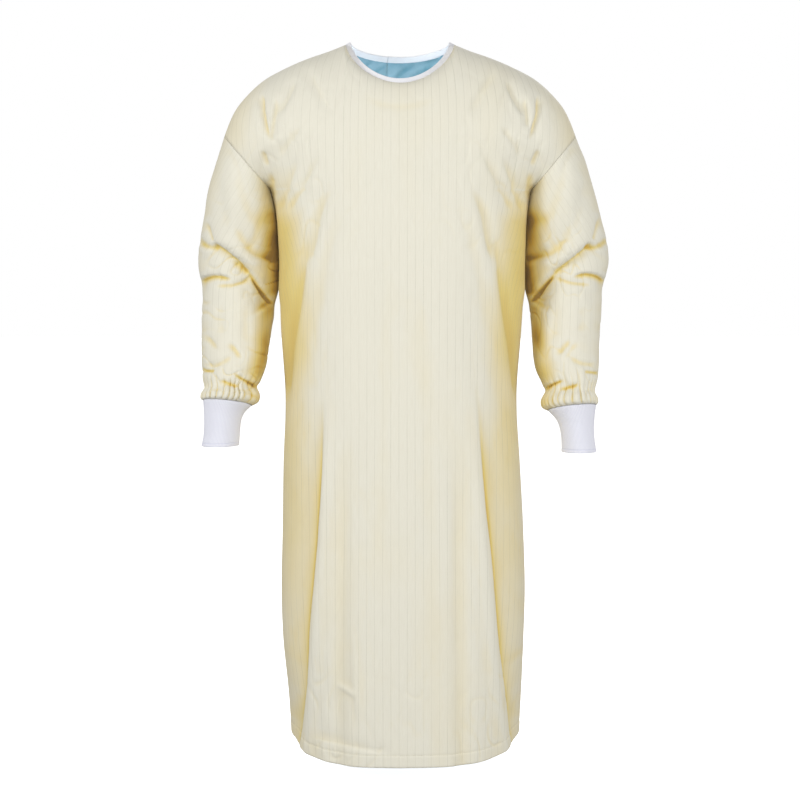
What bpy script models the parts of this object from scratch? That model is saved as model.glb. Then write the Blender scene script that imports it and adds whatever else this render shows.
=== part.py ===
"""Isolation gown in the form it has when it is worn, with no wearer in it.

The gown is cut as a front panel, two back panels that lap at the centre back, two sleeves
gathered onto knitted cuffs, and a binding round the neck. Each is a hollow cloth wall.

Frame: metres, +Z up, the front faces -Y and the viewer's right is +X. The origin is the
middle of the neck opening, level with the two points where the neck meets the shoulders.
"""

import math

import bpy
import numpy as np
from mathutils import Vector

CLOTH = 0.0015
SEAM_GAP = 0.0003
CUFF_WALL = 0.0024
FRONT, BACK = -1, 1
LEFT, RIGHT = -1, 1
DOWN = np.array((0.0, 0.0, -1.0))
UP = -DOWN

NECK_HALF_WIDTH = 0.0895
NECK_EDGE_DOWN = 0.004
NECK_REACH = 0.42
FRONT_NECK = {"drop": 0.0686, "run": 0.078, "drop_power": 0.7, "run_power": 0.6}
BACK_NECK = {"drop": 0.0217, "run": 0.058, "drop_power": 0.6, "run_power": 0.55}
RISE_POWER = 2.05
SPREAD_POWER = 1.7
ARM_PULL = 1.8

SECTION_POWER = 2.6
FRONT_HEM_DOWN = 1.172
SIDE_HEM_DOWN = 1.143
HEM_POWER = 4.5

HALF_RING = 13
FRONT_NECK_COLUMNS = 16
BACK_NECK_COLUMNS = 8
SIDE_COLUMNS = 10
UNDERARM_ROWS = (0.012, 0.028, 0.050)
LOWER_ROWS = 15

INNER_BACK_EDGE = 3
OUTER_BACK_EDGE = 7
LAYER_STEP = 0.0032

BINDING_WIDTH = 0.009
BINDING_PROUD = 0.00045
BINDING_LEAN = 0.65
SHOULDER_LEAN = 1.6

STUD_RADIUS = 0.006
STUD_THICKNESS = 0.0016
STUD_SIDES = 20
STUD_INSET = 0.012
STUD_ROWS = {"neck_press_stud": 6, "waist_press_stud": 20}


def table(names, *rows):
    """Columns of numbers by name."""
    return dict(zip(names.split(), np.array(rows, dtype=float).T))


BODY = table(
    "down left right front back",
    (0.2415, 0.2133, 0.2158, 0.128, 0.120),
    (0.2710, 0.2045, 0.2095, 0.130, 0.119),
    (0.3290, 0.1990, 0.2055, 0.133, 0.117),
    (0.3950, 0.1985, 0.2045, 0.135, 0.115),
    (0.4700, 0.1965, 0.2005, 0.135, 0.116),
    (0.5890, 0.1895, 0.1930, 0.138, 0.122),
    (0.6890, 0.1930, 0.1985, 0.141, 0.128),
    (0.8070, 0.1950, 0.2050, 0.145, 0.133),
    (0.9010, 0.1970, 0.2078, 0.149, 0.136),
    (0.9860, 0.1942, 0.2055, 0.151, 0.138),
    (1.0640, 0.1865, 0.2025, 0.153, 0.139),
    (1.1720, 0.1790, 0.1970, 0.155, 0.140),
)

SHOULDER = table(
    "out down",
    (0.0895, 0.0040),
    (0.1150, 0.0142),
    (0.1450, 0.0245),
    (0.1880, 0.0425),
    (0.2250, 0.0630),
    (0.2500, 0.0855),
    (0.2700, 0.1100),
    (0.2818, 0.1340),
    (0.2895, 0.1544),
)

SLEEVE_COLUMNS = "outer outer_down inner inner_down depth centre lift"
LEFT_SLEEVE = table(
    SLEEVE_COLUMNS,
    (0.2895, 0.1544, 0.2133, 0.2407, 0.0700, 0.000, 0.000),
    (0.3054, 0.2042, 0.2083, 0.2706, 0.0720, 0.000, 0.000),
    (0.3174, 0.2439, 0.2052, 0.2987, 0.0720, 0.003, 0.000),
    (0.3261, 0.2903, 0.2029, 0.3285, 0.0700, 0.008, 0.000),
    (0.3339, 0.3351, 0.2007, 0.3601, 0.0670, 0.012, 0.000),
    (0.3350, 0.3651, 0.2017, 0.3901, 0.0640, 0.014, 0.001),
    (0.3294, 0.4050, 0.2081, 0.4300, 0.0600, 0.010, 0.002),
    (0.3284, 0.4416, 0.2108, 0.4565, 0.0580, 0.002, 0.003),
    (0.3274, 0.4829, 0.2149, 0.4927, 0.0560, -0.010, 0.004),
    (0.3262, 0.5238, 0.2205, 0.5287, 0.0530, -0.023, 0.005),
    (0.3240, 0.5530, 0.2313, 0.5564, 0.0480, -0.032, 0.006),
)
RIGHT_SLEEVE = table(
    SLEEVE_COLUMNS,
    (0.2895, 0.1544, 0.2158, 0.2424, 0.0700, 0.000, 0.000),
    (0.3071, 0.1999, 0.2133, 0.2706, 0.0720, 0.000, 0.000),
    (0.3203, 0.2406, 0.2110, 0.2987, 0.0720, 0.003, 0.000),
    (0.3335, 0.2869, 0.2097, 0.3285, 0.0700, 0.008, 0.000),
    (0.3439, 0.3351, 0.2082, 0.3601, 0.0670, 0.012, 0.000),
    (0.3449, 0.3651, 0.2086, 0.3934, 0.0640, 0.014, 0.001),
    (0.3362, 0.4050, 0.2139, 0.4284, 0.0600, 0.010, 0.002),
    (0.3342, 0.4416, 0.2161, 0.4565, 0.0580, 0.002, 0.003),
    (0.3296, 0.4829, 0.2185, 0.4939, 0.0560, -0.010, 0.004),
    (0.3270, 0.5238, 0.2222, 0.5321, 0.0530, -0.023, 0.005),
    (0.3238, 0.5547, 0.2346, 0.5613, 0.0480, -0.032, 0.006),
)
SLEEVE_ROWS = (0.0, 0.3, 0.65, 1.1, 1.7, 2.4, 3.1, 3.7, 4.2, 4.7, 5.2, 5.7, 6.3, 7.0, 7.8, 8.7, 9.4, 10.0)

GATHER_COLUMNS = SLEEVE_COLUMNS + " wave"
LEFT_GATHERS = table(
    GATHER_COLUMNS,
    (0.3205, 0.5683, 0.2365, 0.5673, 0.0440, -0.037, 0.006, 0.0012),
    (0.3250, 0.5775, 0.2314, 0.5799, 0.0480, -0.041, 0.007, 0.0024),
    (0.3255, 0.5833, 0.2336, 0.5887, 0.0470, -0.043, 0.007, 0.0024),
    (0.3230, 0.5867, 0.2430, 0.5951, 0.0400, -0.044, 0.007, 0.0000),
)
RIGHT_GATHERS = table(
    GATHER_COLUMNS,
    (0.3196, 0.5742, 0.2395, 0.5742, 0.0440, -0.037, 0.006, 0.0012),
    (0.3235, 0.5839, 0.2332, 0.5888, 0.0480, -0.041, 0.007, 0.0024),
    (0.3240, 0.5902, 0.2346, 0.5976, 0.0470, -0.043, 0.007, 0.0024),
    (0.3220, 0.5946, 0.2420, 0.6030, 0.0400, -0.044, 0.007, 0.0000),
)
LEFT_CUFF = table(
    SLEEVE_COLUMNS,
    (0.3230, 0.5867, 0.2430, 0.5951, 0.0400, -0.044, 0.007),
    (0.3221, 0.5985, 0.2538, 0.6059, 0.0360, -0.045, 0.005),
    (0.3215, 0.6132, 0.2591, 0.6162, 0.0330, -0.046, 0.003),
    (0.3214, 0.6295, 0.2616, 0.6300, 0.0320, -0.047, 0.001),
    (0.3223, 0.6447, 0.2627, 0.6457, 0.0315, -0.048, 0.000),
    (0.3255, 0.6612, 0.2637, 0.6601, 0.0320, -0.049, -0.001),
)
RIGHT_CUFF = table(
    SLEEVE_COLUMNS,
    (0.3220, 0.5946, 0.2420, 0.6030, 0.0400, -0.044, 0.007),
    (0.3198, 0.6084, 0.2538, 0.6153, 0.0360, -0.045, 0.005),
    (0.3187, 0.6231, 0.2599, 0.6261, 0.0330, -0.046, 0.003),
    (0.3184, 0.6388, 0.2633, 0.6398, 0.0320, -0.047, 0.001),
    (0.3194, 0.6526, 0.2648, 0.6546, 0.0315, -0.048, 0.000),
    (0.3221, 0.6708, 0.2649, 0.6708, 0.0320, -0.049, -0.001),
)

CREASE_COLUMNS = "top_x top_down end_x end_down inner_width outer_width depth"
FRONT_CREASES = table(
    CREASE_COLUMNS,
    (-0.124, 0.540, -0.166, 1.190, 0.014, 0.034, 0.0120),
    (0.121, 0.540, 0.181, 1.190, 0.014, 0.034, 0.0115),
    (-0.152, 0.300, -0.184, 0.600, 0.016, 0.030, 0.0050),
    (0.157, 0.300, 0.190, 0.590, 0.016, 0.030, 0.0050),
    (-0.096, 0.800, -0.098, 1.240, 0.018, 0.018, 0.0040),
    (0.096, 0.780, 0.098, 1.240, 0.018, 0.018, 0.0040),
    (-0.212, 0.090, -0.206, 0.165, 0.010, 0.010, 0.0060),
    (0.212, 0.090, 0.206, 0.165, 0.010, 0.010, 0.0060),
)
BACK_CREASES = table(
    CREASE_COLUMNS,
    (-0.118, 0.430, -0.150, 1.240, 0.020, 0.034, 0.0085),
    (0.128, 0.470, 0.158, 1.240, 0.020, 0.034, 0.0080),
    (-0.070, 0.700, -0.078, 1.240, 0.022, 0.022, 0.0045),
    (-0.155, 0.260, -0.176, 0.560, 0.018, 0.028, 0.0050),
    (0.160, 0.260, 0.180, 0.540, 0.018, 0.028, 0.0050),
)
SLEEVE_CREASES = table(
    CREASE_COLUMNS,
    (0.318, 0.330, 0.212, 0.425, 0.012, 0.012, 0.0060),
    (0.280, 0.300, 0.205, 0.362, 0.011, 0.011, 0.0040),
    (0.330, 0.395, 0.245, 0.388, 0.010, 0.010, 0.0040),
    (0.285, 0.495, 0.260, 0.525, 0.012, 0.012, 0.0030),
)
ELBOW_CREASES = table(
    CREASE_COLUMNS,
    (0.322, 0.350, 0.225, 0.372, 0.012, 0.012, 0.0045),
    (0.320, 0.405, 0.230, 0.400, 0.012, 0.012, 0.0040),
    (0.300, 0.470, 0.250, 0.500, 0.012, 0.012, 0.0030),
)


def smooth(keys, values, at):
    """Cubic curve through a table's rows, read at the given keys."""
    slopes = np.gradient(values, keys)
    at = np.clip(at, keys[0], keys[-1])
    row = np.clip(np.searchsorted(keys, at, side="right") - 1, 0, len(keys) - 2)
    span = keys[row + 1] - keys[row]
    f = (at - keys[row]) / span
    start = (2 * f ** 3 - 3 * f ** 2 + 1) * values[row] + (f ** 3 - 2 * f ** 2 + f) * span * slopes[row]
    end = (3 * f ** 2 - 2 * f ** 3) * values[row + 1] + (f ** 3 - f ** 2) * span * slopes[row + 1]
    return start + end


def ease(value, low, high):
    """0 below low, 1 above high, with a smooth step between."""
    f = np.clip((value - low) / (high - low), 0.0, 1.0)
    return f * f * (3 - 2 * f)


def unit(vectors):
    return vectors / np.linalg.norm(vectors, axis=-1, keepdims=True)


def section_reach(reach):
    """Depth share of a body section at each share of its half width."""
    return (1 - np.abs(reach) ** SECTION_POWER) ** (1 / SECTION_POWER)


def column_reaches(neck_columns):
    """Column places from side seam to side seam, as shares of the half width, -1 to 1."""
    neck = np.linspace(-NECK_REACH, NECK_REACH, neck_columns + 1)
    fine = np.linspace(0, math.pi / 2, 400)
    along = np.sin(fine) ** (2 / SECTION_POWER)
    across = np.cos(fine) ** (2 / SECTION_POWER)
    keep = along >= NECK_REACH
    along = np.concatenate(((NECK_REACH,), along[keep]))
    across = np.concatenate(((section_reach(NECK_REACH),), across[keep]))
    half_width, depth = BODY["left"].mean(), BODY["front"].mean()
    steps = np.hypot(np.diff(along) * half_width, np.diff(across) * depth)
    length = np.concatenate(((0.0,), np.cumsum(steps)))
    side = np.interp(np.linspace(0, length[-1], SIDE_COLUMNS + 1), length, along)[1:]
    return np.concatenate((-side[::-1], neck, side))


def half_width(reach, down):
    """Half width of the body on the side that each reach lies on."""
    left = smooth(BODY["down"], BODY["left"], down)
    right = smooth(BODY["down"], BODY["right"], down)
    return np.where(reach < 0, left, right)


def ring(sizes, row, turns):
    """Points round a sleeve or cuff section: turn 0 is outermost, a quarter turn is the front."""
    keys = np.arange(len(sizes["outer"]))
    size = {name: float(smooth(keys, column, row)) for name, column in sizes.items()}
    outer = np.array((size["outer"], 0.0, -size["outer_down"]))
    inner = np.array((size["inner"], 0.0, -size["inner_down"]))
    middle = (outer + inner) / 2 + np.array((0.0, size["centre"], 0.0))
    forward = np.array((0.0, -size["depth"], size["lift"]))
    return middle + np.cos(turns)[:, None] * (outer - inner) / 2 + np.sin(turns)[:, None] * forward


def armhole(side, turns):
    """Armhole ring, the way into its wall and its plane's normal towards the arm."""
    sizes = LEFT_SLEEVE if side == LEFT else RIGHT_SLEEVE
    mirror = np.array((side, 1.0, 1.0))
    points = ring(sizes, 0, turns) * mirror
    across = (points[turns.argmin()] - points.mean(axis=0)) * (1.0, 0.0, 1.0)
    across = unit(np.array((across[0], 0.0, across[2])))
    away = unit(np.cross(across, (0.0, 1.0, 0.0)))
    away = away if away[0] * side > 0 else -away
    depth = sizes["depth"][0]
    half = math.hypot(sizes["outer"][0] - sizes["inner"][0], sizes["outer_down"][0] - sizes["inner_down"][0]) / 2
    radial = -unit(np.cos(turns)[:, None] * across / half
                   + np.sin(turns)[:, None] * np.array((0.0, -1.0, 0.0)) / depth)
    underarm = 1 - ease(np.abs(turns - math.pi), 0.15 * math.pi, 0.55 * math.pi)[:, None]
    inward = unit(radial * (1 - underarm) + UP * underarm)
    return points, inward, away


def creases(sizes, x, down):
    """How far the cloth is pressed in at each place, by every crease of a table."""
    depth = np.zeros_like(x)
    for row in zip(*sizes.values()):
        top_x, top_down, end_x, end_down, inner_width, outer_width, most = row
        run = np.array((end_x - top_x, end_down - top_down))
        length = np.hypot(*run)
        run = run / length
        along = (x - top_x) * run[0] + (down - top_down) * run[1]
        aside = (x - top_x) * run[1] - (down - top_down) * run[0]
        aside = aside * (1 if top_x > 0 else -1)
        width = np.where(aside > 0, outer_width, inner_width)
        fade = ease(along, 0.0, 0.25 * length) * (1 - ease(along, 0.8 * length, length))
        depth += most * fade * np.exp(-(aside / width) ** 2)
    return depth


def neck_edge(reach, face):
    """Neckline point of a panel at each column inside the neck."""
    neck = FRONT_NECK if face == FRONT else BACK_NECK
    hollow = np.clip(1 - (reach / NECK_REACH) ** 2, 0.0, 1.0)
    x = NECK_HALF_WIDTH * reach / NECK_REACH
    down = NECK_EDGE_DOWN + neck["drop"] * hollow ** neck["drop_power"]
    return x, neck["run"] * hollow ** neck["run_power"], down


def shoulder_edge(reach, shares):
    """Shoulder seam point, shares 0 at the neck to 1 at the armhole."""
    steps = np.hypot(np.diff(SHOULDER["out"]), np.diff(SHOULDER["down"]))
    keys = np.concatenate(((0.0,), np.cumsum(steps))) / steps.sum()
    return np.sign(reach) * smooth(keys, SHOULDER["out"], shares), smooth(keys, SHOULDER["down"], shares)


def body_lattice(face, reach):
    """Outer points of the front or the whole back, shoulder to hem, before its creases."""
    turns = np.linspace(0, math.pi, HALF_RING + 1)
    rise = ((1 + np.cos(turns)) / 2)[:, None]
    inside = np.abs(reach) <= NECK_REACH + 1e-9
    from_middle = np.abs(np.arange(len(reach)) - (len(reach) - 1) / 2)
    shares = np.clip((from_middle - (inside.sum() - 1) / 2) / SIDE_COLUMNS, 0.0, 1.0)
    neck_x, neck_run, neck_down = neck_edge(reach, face)
    seam_x, seam_down = shoulder_edge(reach, shares)
    top_x = np.where(inside, neck_x, seam_x)
    top_down = np.where(inside, neck_down, seam_down)
    top_run = np.where(inside, neck_run, 0.0)

    arm_down = np.interp(reach, (-1, 1), (LEFT_SLEEVE["inner_down"][0], RIGHT_SLEEVE["inner_down"][0]))
    arm_x = reach * np.where(reach < 0, BODY["left"][0], BODY["right"][0])
    depth = BODY["front" if face == FRONT else "back"]
    across = section_reach(reach)
    carry = (1 - rise ** RISE_POWER) ** (1 / RISE_POWER)
    ring_depth = LEFT_SLEEVE["depth"][0] * np.sin(turns)[:, None]
    spread = rise ** (1 + (SPREAD_POWER - 1) * (1 - np.abs(reach) ** 4))
    upper_x = arm_x * (1 - spread) + top_x * spread
    upper_down = arm_down * (1 - rise) + top_down * rise
    arm_pull = (1 - across) ** (1 + ARM_PULL * (1 - ease(rise, 0.0, 0.45)))
    upper_run = depth[0] * across * carry + arm_pull * ring_depth + top_run * (1 - carry)

    hem_down = FRONT_HEM_DOWN + (SIDE_HEM_DOWN - FRONT_HEM_DOWN) * np.abs(reach) ** HEM_POWER
    if face == BACK:
        hem_down = np.full_like(reach, SIDE_HEM_DOWN)
    start = UNDERARM_ROWS[-1]
    near = arm_down + np.array(UNDERARM_ROWS)[:, None]
    share = np.linspace(0, 1, LOWER_ROWS + 1)[1:, None]
    far = (arm_down + start) * (1 - share) + hem_down * share
    lower_down = np.concatenate((near, far))
    lower_x = reach * half_width(reach, lower_down)
    lower_run = across * smooth(BODY["down"], depth, lower_down)

    x = np.concatenate((upper_x, lower_x))
    down = np.concatenate((upper_down, lower_down))
    run = np.concatenate((upper_run, lower_run))
    return np.stack((x, face * run, -down), axis=-1)


def lattice_normals(points, face):
    """Unit vectors out of the cloth at each lattice point."""
    down_rows = np.gradient(points, axis=0)
    across = np.gradient(points, axis=1)
    return unit(np.cross(down_rows, across) * -face)


def body_panel(face, reach):
    """Finished outer points of the front or the whole back, and the way into its wall."""
    points = body_lattice(face, reach)
    outward = lattice_normals(points, face)
    turns = np.linspace(0, math.pi, HALF_RING + 1)
    arm_rows = HALF_RING + 1
    seam_columns = np.abs(reach) > NECK_REACH - 1e-9
    neck_columns = np.abs(reach) < NECK_REACH + 1e-9

    outward[0, seam_columns, 1] = 0.0
    outward[arm_rows:, (0, -1), 1] = 0.0
    outward = unit(outward)
    outward[0, neck_columns] = binding_frame(points[0, neck_columns], reach[neck_columns])[1]

    table_rows = FRONT_CREASES if face == FRONT else BACK_CREASES
    pressed = creases(table_rows, points[..., 0], -points[..., 2])
    pressed *= ease(section_reach(reach), 0.05, 0.45) * ease(np.arange(len(points)), 0, 3)[:, None]
    points = points - outward * pressed[..., None]

    points[0, seam_columns, 1] = face * SEAM_GAP / 2
    points[arm_rows:, (0, -1), 1] = face * SEAM_GAP / 2
    for side, column in ((LEFT, 0), (RIGHT, -1)):
        edge, inward, away = armhole(side, turns if face == FRONT else 2 * math.pi - turns)
        edge = edge - away * SEAM_GAP / 2
        edge[(0, -1), 1] = face * SEAM_GAP / 2
        points[:arm_rows, column] = edge
        inward[(0, -1), 1] = 0.0
        outward[:arm_rows, column] = -unit(inward)
    return points, -outward


def binding_frame(edge, reach):
    """Way up the binding and way out of it at each neckline point."""
    inward = -edge * (1.0, 1.0, 0.0)
    lean = BINDING_LEAN + (SHOULDER_LEAN - BINDING_LEAN) * (np.abs(reach) / NECK_REACH) ** 4
    way_up = unit(unit(inward) * lean[:, None] + UP)
    along = np.gradient(edge, axis=0)
    along[np.abs(reach) > NECK_REACH - 1e-9] = (0.0, 1.0, 0.0)
    along = unit(along)
    outward = np.cross(along, way_up)
    flip = np.sum(outward * inward, axis=-1, keepdims=True) > 0
    outward = unit(np.where(flip, -outward, outward))
    return unit(way_up - outward * np.sum(way_up * outward, axis=-1, keepdims=True)), outward


def make_material(name, colour, roughness):
    material = bpy.data.materials.new(name)
    material.use_nodes = True
    shader = material.node_tree.nodes["Principled BSDF"]
    shader.inputs["Base Color"].default_value = (*colour, 1.0)
    shader.inputs["Roughness"].default_value = roughness
    shader.inputs["Metallic"].default_value = 0.0
    return material


def add_object(name, points, faces, material):
    """Named object from points and faces, with its faces turned outwards."""
    mesh = bpy.data.meshes.new(name)
    mesh.from_pydata([tuple(point) for point in points], [], faces)
    mesh.update()
    volume = sum(
        Vector(points[a]).dot(Vector(points[b]).cross(Vector(points[c]))) for a, b, c in faces
    )
    if volume < 0:
        mesh.flip_normals()
    mesh.materials.append(material)
    mesh.shade_smooth()
    mesh.set_sharp_from_angle(angle=math.radians(50))
    item = bpy.data.objects.new(name, mesh)
    bpy.context.collection.objects.link(item)
    return item


def join_rows(first, second, closed):
    """Triangles between two rows of point numbers, the second as long or twice as long."""
    ratio = 2 if len(second) > len(first) + 1 else 1
    faces = []
    for i in range(len(first) if closed else len(first) - 1):
        a, b = first[i], first[(i + 1) % len(first)]
        row = [second[(ratio * i + k) % len(second)] for k in range(ratio + 1)]
        faces += [(a, row[k], row[k + 1]) for k in range(ratio - 1)]
        faces += [(a, row[-2], b), (b, row[-2], row[-1])]
    return faces


def cloth_wall(name, outer_rows, inner_rows, closed, material):
    """Closed wall between outer and inner rows of points, round a tube or across a panel."""
    points, outer, inner = [], [], []
    for rows, numbers in ((outer_rows, outer), (inner_rows, inner)):
        for row in rows:
            numbers.append(list(range(len(points), len(points) + len(row))))
            points += list(row)
    faces = []
    for i in range(len(outer) - 1):
        faces += join_rows(outer[i], outer[i + 1], closed)
        faces += [face[::-1] for face in join_rows(inner[i], inner[i + 1], closed)]
    for i, order in ((0, -1), (len(outer) - 1, 1)):
        faces += [face[::order] for face in join_rows(outer[i], inner[i], closed)]
    if not closed:
        for column, order in ((0, 1), (-1, -1)):
            outer_edge = [row[column] for row in outer]
            inner_edge = [row[column] for row in inner]
            faces += [face[::order] for face in join_rows(outer_edge, inner_edge, False)]
    return add_object(name, points, faces, material)


def make_front(material):
    reach = column_reaches(FRONT_NECK_COLUMNS)
    points, inward = body_panel(FRONT, reach)
    cloth_wall("front_panel", points, points + inward * CLOTH, False, material)
    keep = np.abs(reach) < NECK_REACH + 1e-9
    return points[0, keep], binding_frame(points[0, keep], reach[keep])


def make_backs(material):
    """Back panels: the left one is the outer layer, the right one steps in under it."""
    reach = column_reaches(BACK_NECK_COLUMNS)
    points, inward = body_panel(BACK, reach)
    first = SIDE_COLUMNS + INNER_BACK_EDGE
    last = SIDE_COLUMNS + OUTER_BACK_EDGE
    outer = points[:, :last + 1]
    cloth_wall("back_panel_left", outer, outer + inward[:, :last + 1] * CLOTH, False, material)

    under = (np.arange(len(reach)) <= last)[None, :, None]
    stepped = points + inward * LAYER_STEP * under
    right = stepped[:, first:]
    cloth_wall("back_panel_right", right, right + inward[:, first:] * CLOTH, False, material)

    neck = slice(SIDE_COLUMNS, SIDE_COLUMNS + BACK_NECK_COLUMNS + 1)
    frame = binding_frame(points[0, neck], reach[neck])
    return points[0, neck], stepped[0, neck], frame, points, inward


def make_binding(front, back, material):
    """One strip round the neck, from the inner back panel's edge to the outer one's."""
    front_edge, (front_up, front_out) = front
    outer_edge, inner_edge, (back_up, back_out), _, _ = back
    inner_part = slice(INNER_BACK_EDGE, BACK_NECK_COLUMNS)
    outer_part = slice(1, OUTER_BACK_EDGE + 1)
    order = slice(None, None, -1)
    edge = np.concatenate((inner_edge[inner_part], front_edge[order], outer_edge[outer_part]))
    edge[:, 1] = np.where(np.abs(edge[:, 1]) < SEAM_GAP, 0.0, edge[:, 1])
    way_up = np.concatenate((back_up[inner_part], front_up[order], back_up[outer_part]))
    outward = np.concatenate((back_out[inner_part], front_out[order], back_out[outer_part]))
    thick = CLOTH + 2 * BINDING_PROUD
    base = edge + way_up * SEAM_GAP + outward * BINDING_PROUD
    shoulder = BINDING_WIDTH - thick / 2
    section = ((0.0, 0.0), (shoulder, 0.0), (BINDING_WIDTH, -thick / 2), (shoulder, -thick), (0.0, -thick))
    rows = [base + way_up * rise + outward * run for rise, run in section]
    numbers = np.arange(len(section) * len(edge)).reshape(len(section), len(edge))
    faces = []
    for i in range(len(section)):
        faces += join_rows(list(numbers[i]), list(numbers[(i + 1) % len(section)]), False)
    for end, turn in ((0, -1), (-1, 1)):
        cap = list(numbers[:, end])
        faces += [(cap[0], cap[i], cap[i + 1])[::turn] for i in range(1, len(cap) - 1)]
    add_object("neck_binding", np.concatenate(rows), faces, material)


def ring_inward(rows):
    """Unit vectors into a tube at each point of its rings."""
    around = np.roll(rows, -1, axis=1) - np.roll(rows, 1, axis=1)
    along = np.gradient(rows, axis=0)
    inward = np.cross(around, along)
    middle = rows.mean(axis=1, keepdims=True)
    flip = np.sum(inward * (middle - rows), axis=-1, keepdims=True) < 0
    return unit(np.where(flip, -inward, inward))


def end_plane(points):
    """Ways into a flat ring of points within its plane, and its plane's normal, downwards."""
    spokes = points - points.mean(axis=0)
    quarter = len(points) // 4
    away = unit(np.cross(spokes[0], spokes[quarter]))
    away = away if away[2] < 0 else -away
    around = np.roll(points, -1, axis=0) - np.roll(points, 1, axis=0)
    inward = unit(np.cross(around, away))
    flip = np.sum(inward * spokes, axis=-1, keepdims=True) > 0
    return np.where(flip, -inward, inward), away


def sleeve_pressed(points, turns):
    """Sleeve creases: one set where the front shows, one like it behind the elbow."""
    ahead = ease(np.sin(turns), 0.05, 0.55)
    behind = ease(-np.sin(turns), 0.05, 0.55)
    x, down = np.abs(points[..., 0]), -points[..., 2]
    return creases(SLEEVE_CREASES, x, down) * ahead + creases(ELBOW_CREASES, x, down) * behind


def make_sleeve(side, name, material):
    """Sleeve tube with its elbow creases, doubled in columns and gathered at its end."""
    sizes, gathers = (LEFT_SLEEVE, LEFT_GATHERS) if side == LEFT else (RIGHT_SLEEVE, RIGHT_GATHERS)
    mirror = np.array((side, 1.0, 1.0))
    turns = np.linspace(0, 2 * math.pi, 2 * HALF_RING, endpoint=False)
    plain = np.array([ring(sizes, row, turns) for row in SLEEVE_ROWS]) * mirror
    fine = np.linspace(0, 2 * math.pi, 4 * HALF_RING, endpoint=False)
    waved = np.array([ring(gathers, row, fine) for row in range(len(gathers["outer"]))]) * mirror

    plain_inward = ring_inward(np.concatenate((plain, waved[:1, ::2])))[:-1]
    waved_inward = ring_inward(np.concatenate((plain[-1:].repeat(2, axis=1), waved)))[1:]
    waved_inward[-1], _ = end_plane(waved[-1])
    plain = plain + plain_inward * sleeve_pressed(plain, turns)[..., None]
    wave = gathers["wave"][:, None] * np.where(np.arange(len(fine)) % 2, 1.0, -1.0)
    waved = waved + waved_inward * wave[..., None]

    edge, inward, away = armhole(side, turns)
    plain[0] = edge + away * SEAM_GAP / 2
    plain_inward[0] = inward
    outer = list(plain) + list(waved)
    inner = list(plain + plain_inward * CLOTH) + list(waved + waved_inward * CLOTH)
    cloth_wall(name, outer, inner, True, material)


def make_cuff(side, name, material):
    """Knitted cuff: a close tube that starts where the gathers end."""
    sizes = LEFT_CUFF if side == LEFT else RIGHT_CUFF
    turns = np.linspace(0, 2 * math.pi, 2 * HALF_RING, endpoint=False)
    rows = np.arange(len(sizes["outer"]))
    outer = np.array([ring(sizes, row, turns) for row in rows]) * (side, 1.0, 1.0)
    inward = ring_inward(outer)
    inward[0], away = end_plane(outer[0])
    outer[0] += away * SEAM_GAP
    cloth_wall(name, outer, outer + inward * CUFF_WALL, True, material)


def make_studs(back, material):
    """Press-stud caps on the outer back panel, just in from its edge."""
    points, inward = back[3], back[4]
    column = SIDE_COLUMNS + OUTER_BACK_EDGE
    for name, row in STUD_ROWS.items():
        along = unit(points[row, column - 1] - points[row, column])
        outward = -inward[row, column]
        place = points[row, column] + along * STUD_INSET + outward * (SEAM_GAP + STUD_THICKNESS / 2 + 0.0004)
        mesh = bpy.data.meshes.new(name)
        item = bpy.data.objects.new(name, mesh)
        bpy.context.collection.objects.link(item)
        turns = np.linspace(0, 2 * math.pi, STUD_SIDES, endpoint=False)
        circle = np.stack((np.cos(turns), np.sin(turns)), axis=-1) * STUD_RADIUS
        low = [(x, y, -STUD_THICKNESS / 2) for x, y in circle]
        high = [(x, y, STUD_THICKNESS / 2) for x, y in circle]
        numbers = list(range(STUD_SIDES))
        walls = [(i, (i + 1) % STUD_SIDES, (i + 1) % STUD_SIDES + STUD_SIDES, i + STUD_SIDES) for i in numbers]
        mesh.from_pydata(low + high, [], walls + [numbers[::-1], [i + STUD_SIDES for i in numbers]])
        mesh.materials.append(material)
        item.location = place
        item.rotation_mode = "QUATERNION"
        item.rotation_quaternion = Vector(outward).to_track_quat("Z", "Y")


def main():
    for item in list(bpy.data.objects):
        bpy.data.objects.remove(item, do_unlink=True)
    cloth = make_material("striped_cream_cloth", (0.80, 0.74, 0.52), 0.85)
    knit = make_material("white_rib_knit", (0.84, 0.84, 0.87), 0.9)
    tape = make_material("white_binding_tape", (0.86, 0.86, 0.87), 0.8)
    plastic = make_material("white_stud_plastic", (0.84, 0.83, 0.80), 0.45)
    front = make_front(cloth)
    back = make_backs(cloth)
    make_binding(front, back, tape)
    for side, word in ((LEFT, "left"), (RIGHT, "right")):
        make_sleeve(side, f"sleeve_{word}", cloth)
        make_cuff(side, f"cuff_{word}", knit)
    make_studs(back, plastic)


main()
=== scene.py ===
"""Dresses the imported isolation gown: cloth shells with folds, gathers, knitted ribs and stitching.

Every shell repeats the form of its solid in finer steps, in the solid's own place, and adds what
the solids leave out: creases, gathers, hems, ribs, seams, stitches and the cloth's own pattern.
Creases are placed by their lines in the front view, in pixels of 1.66 mm.
"""

import logging
import math
from dataclasses import dataclass, field, replace
from enum import Enum

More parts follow.
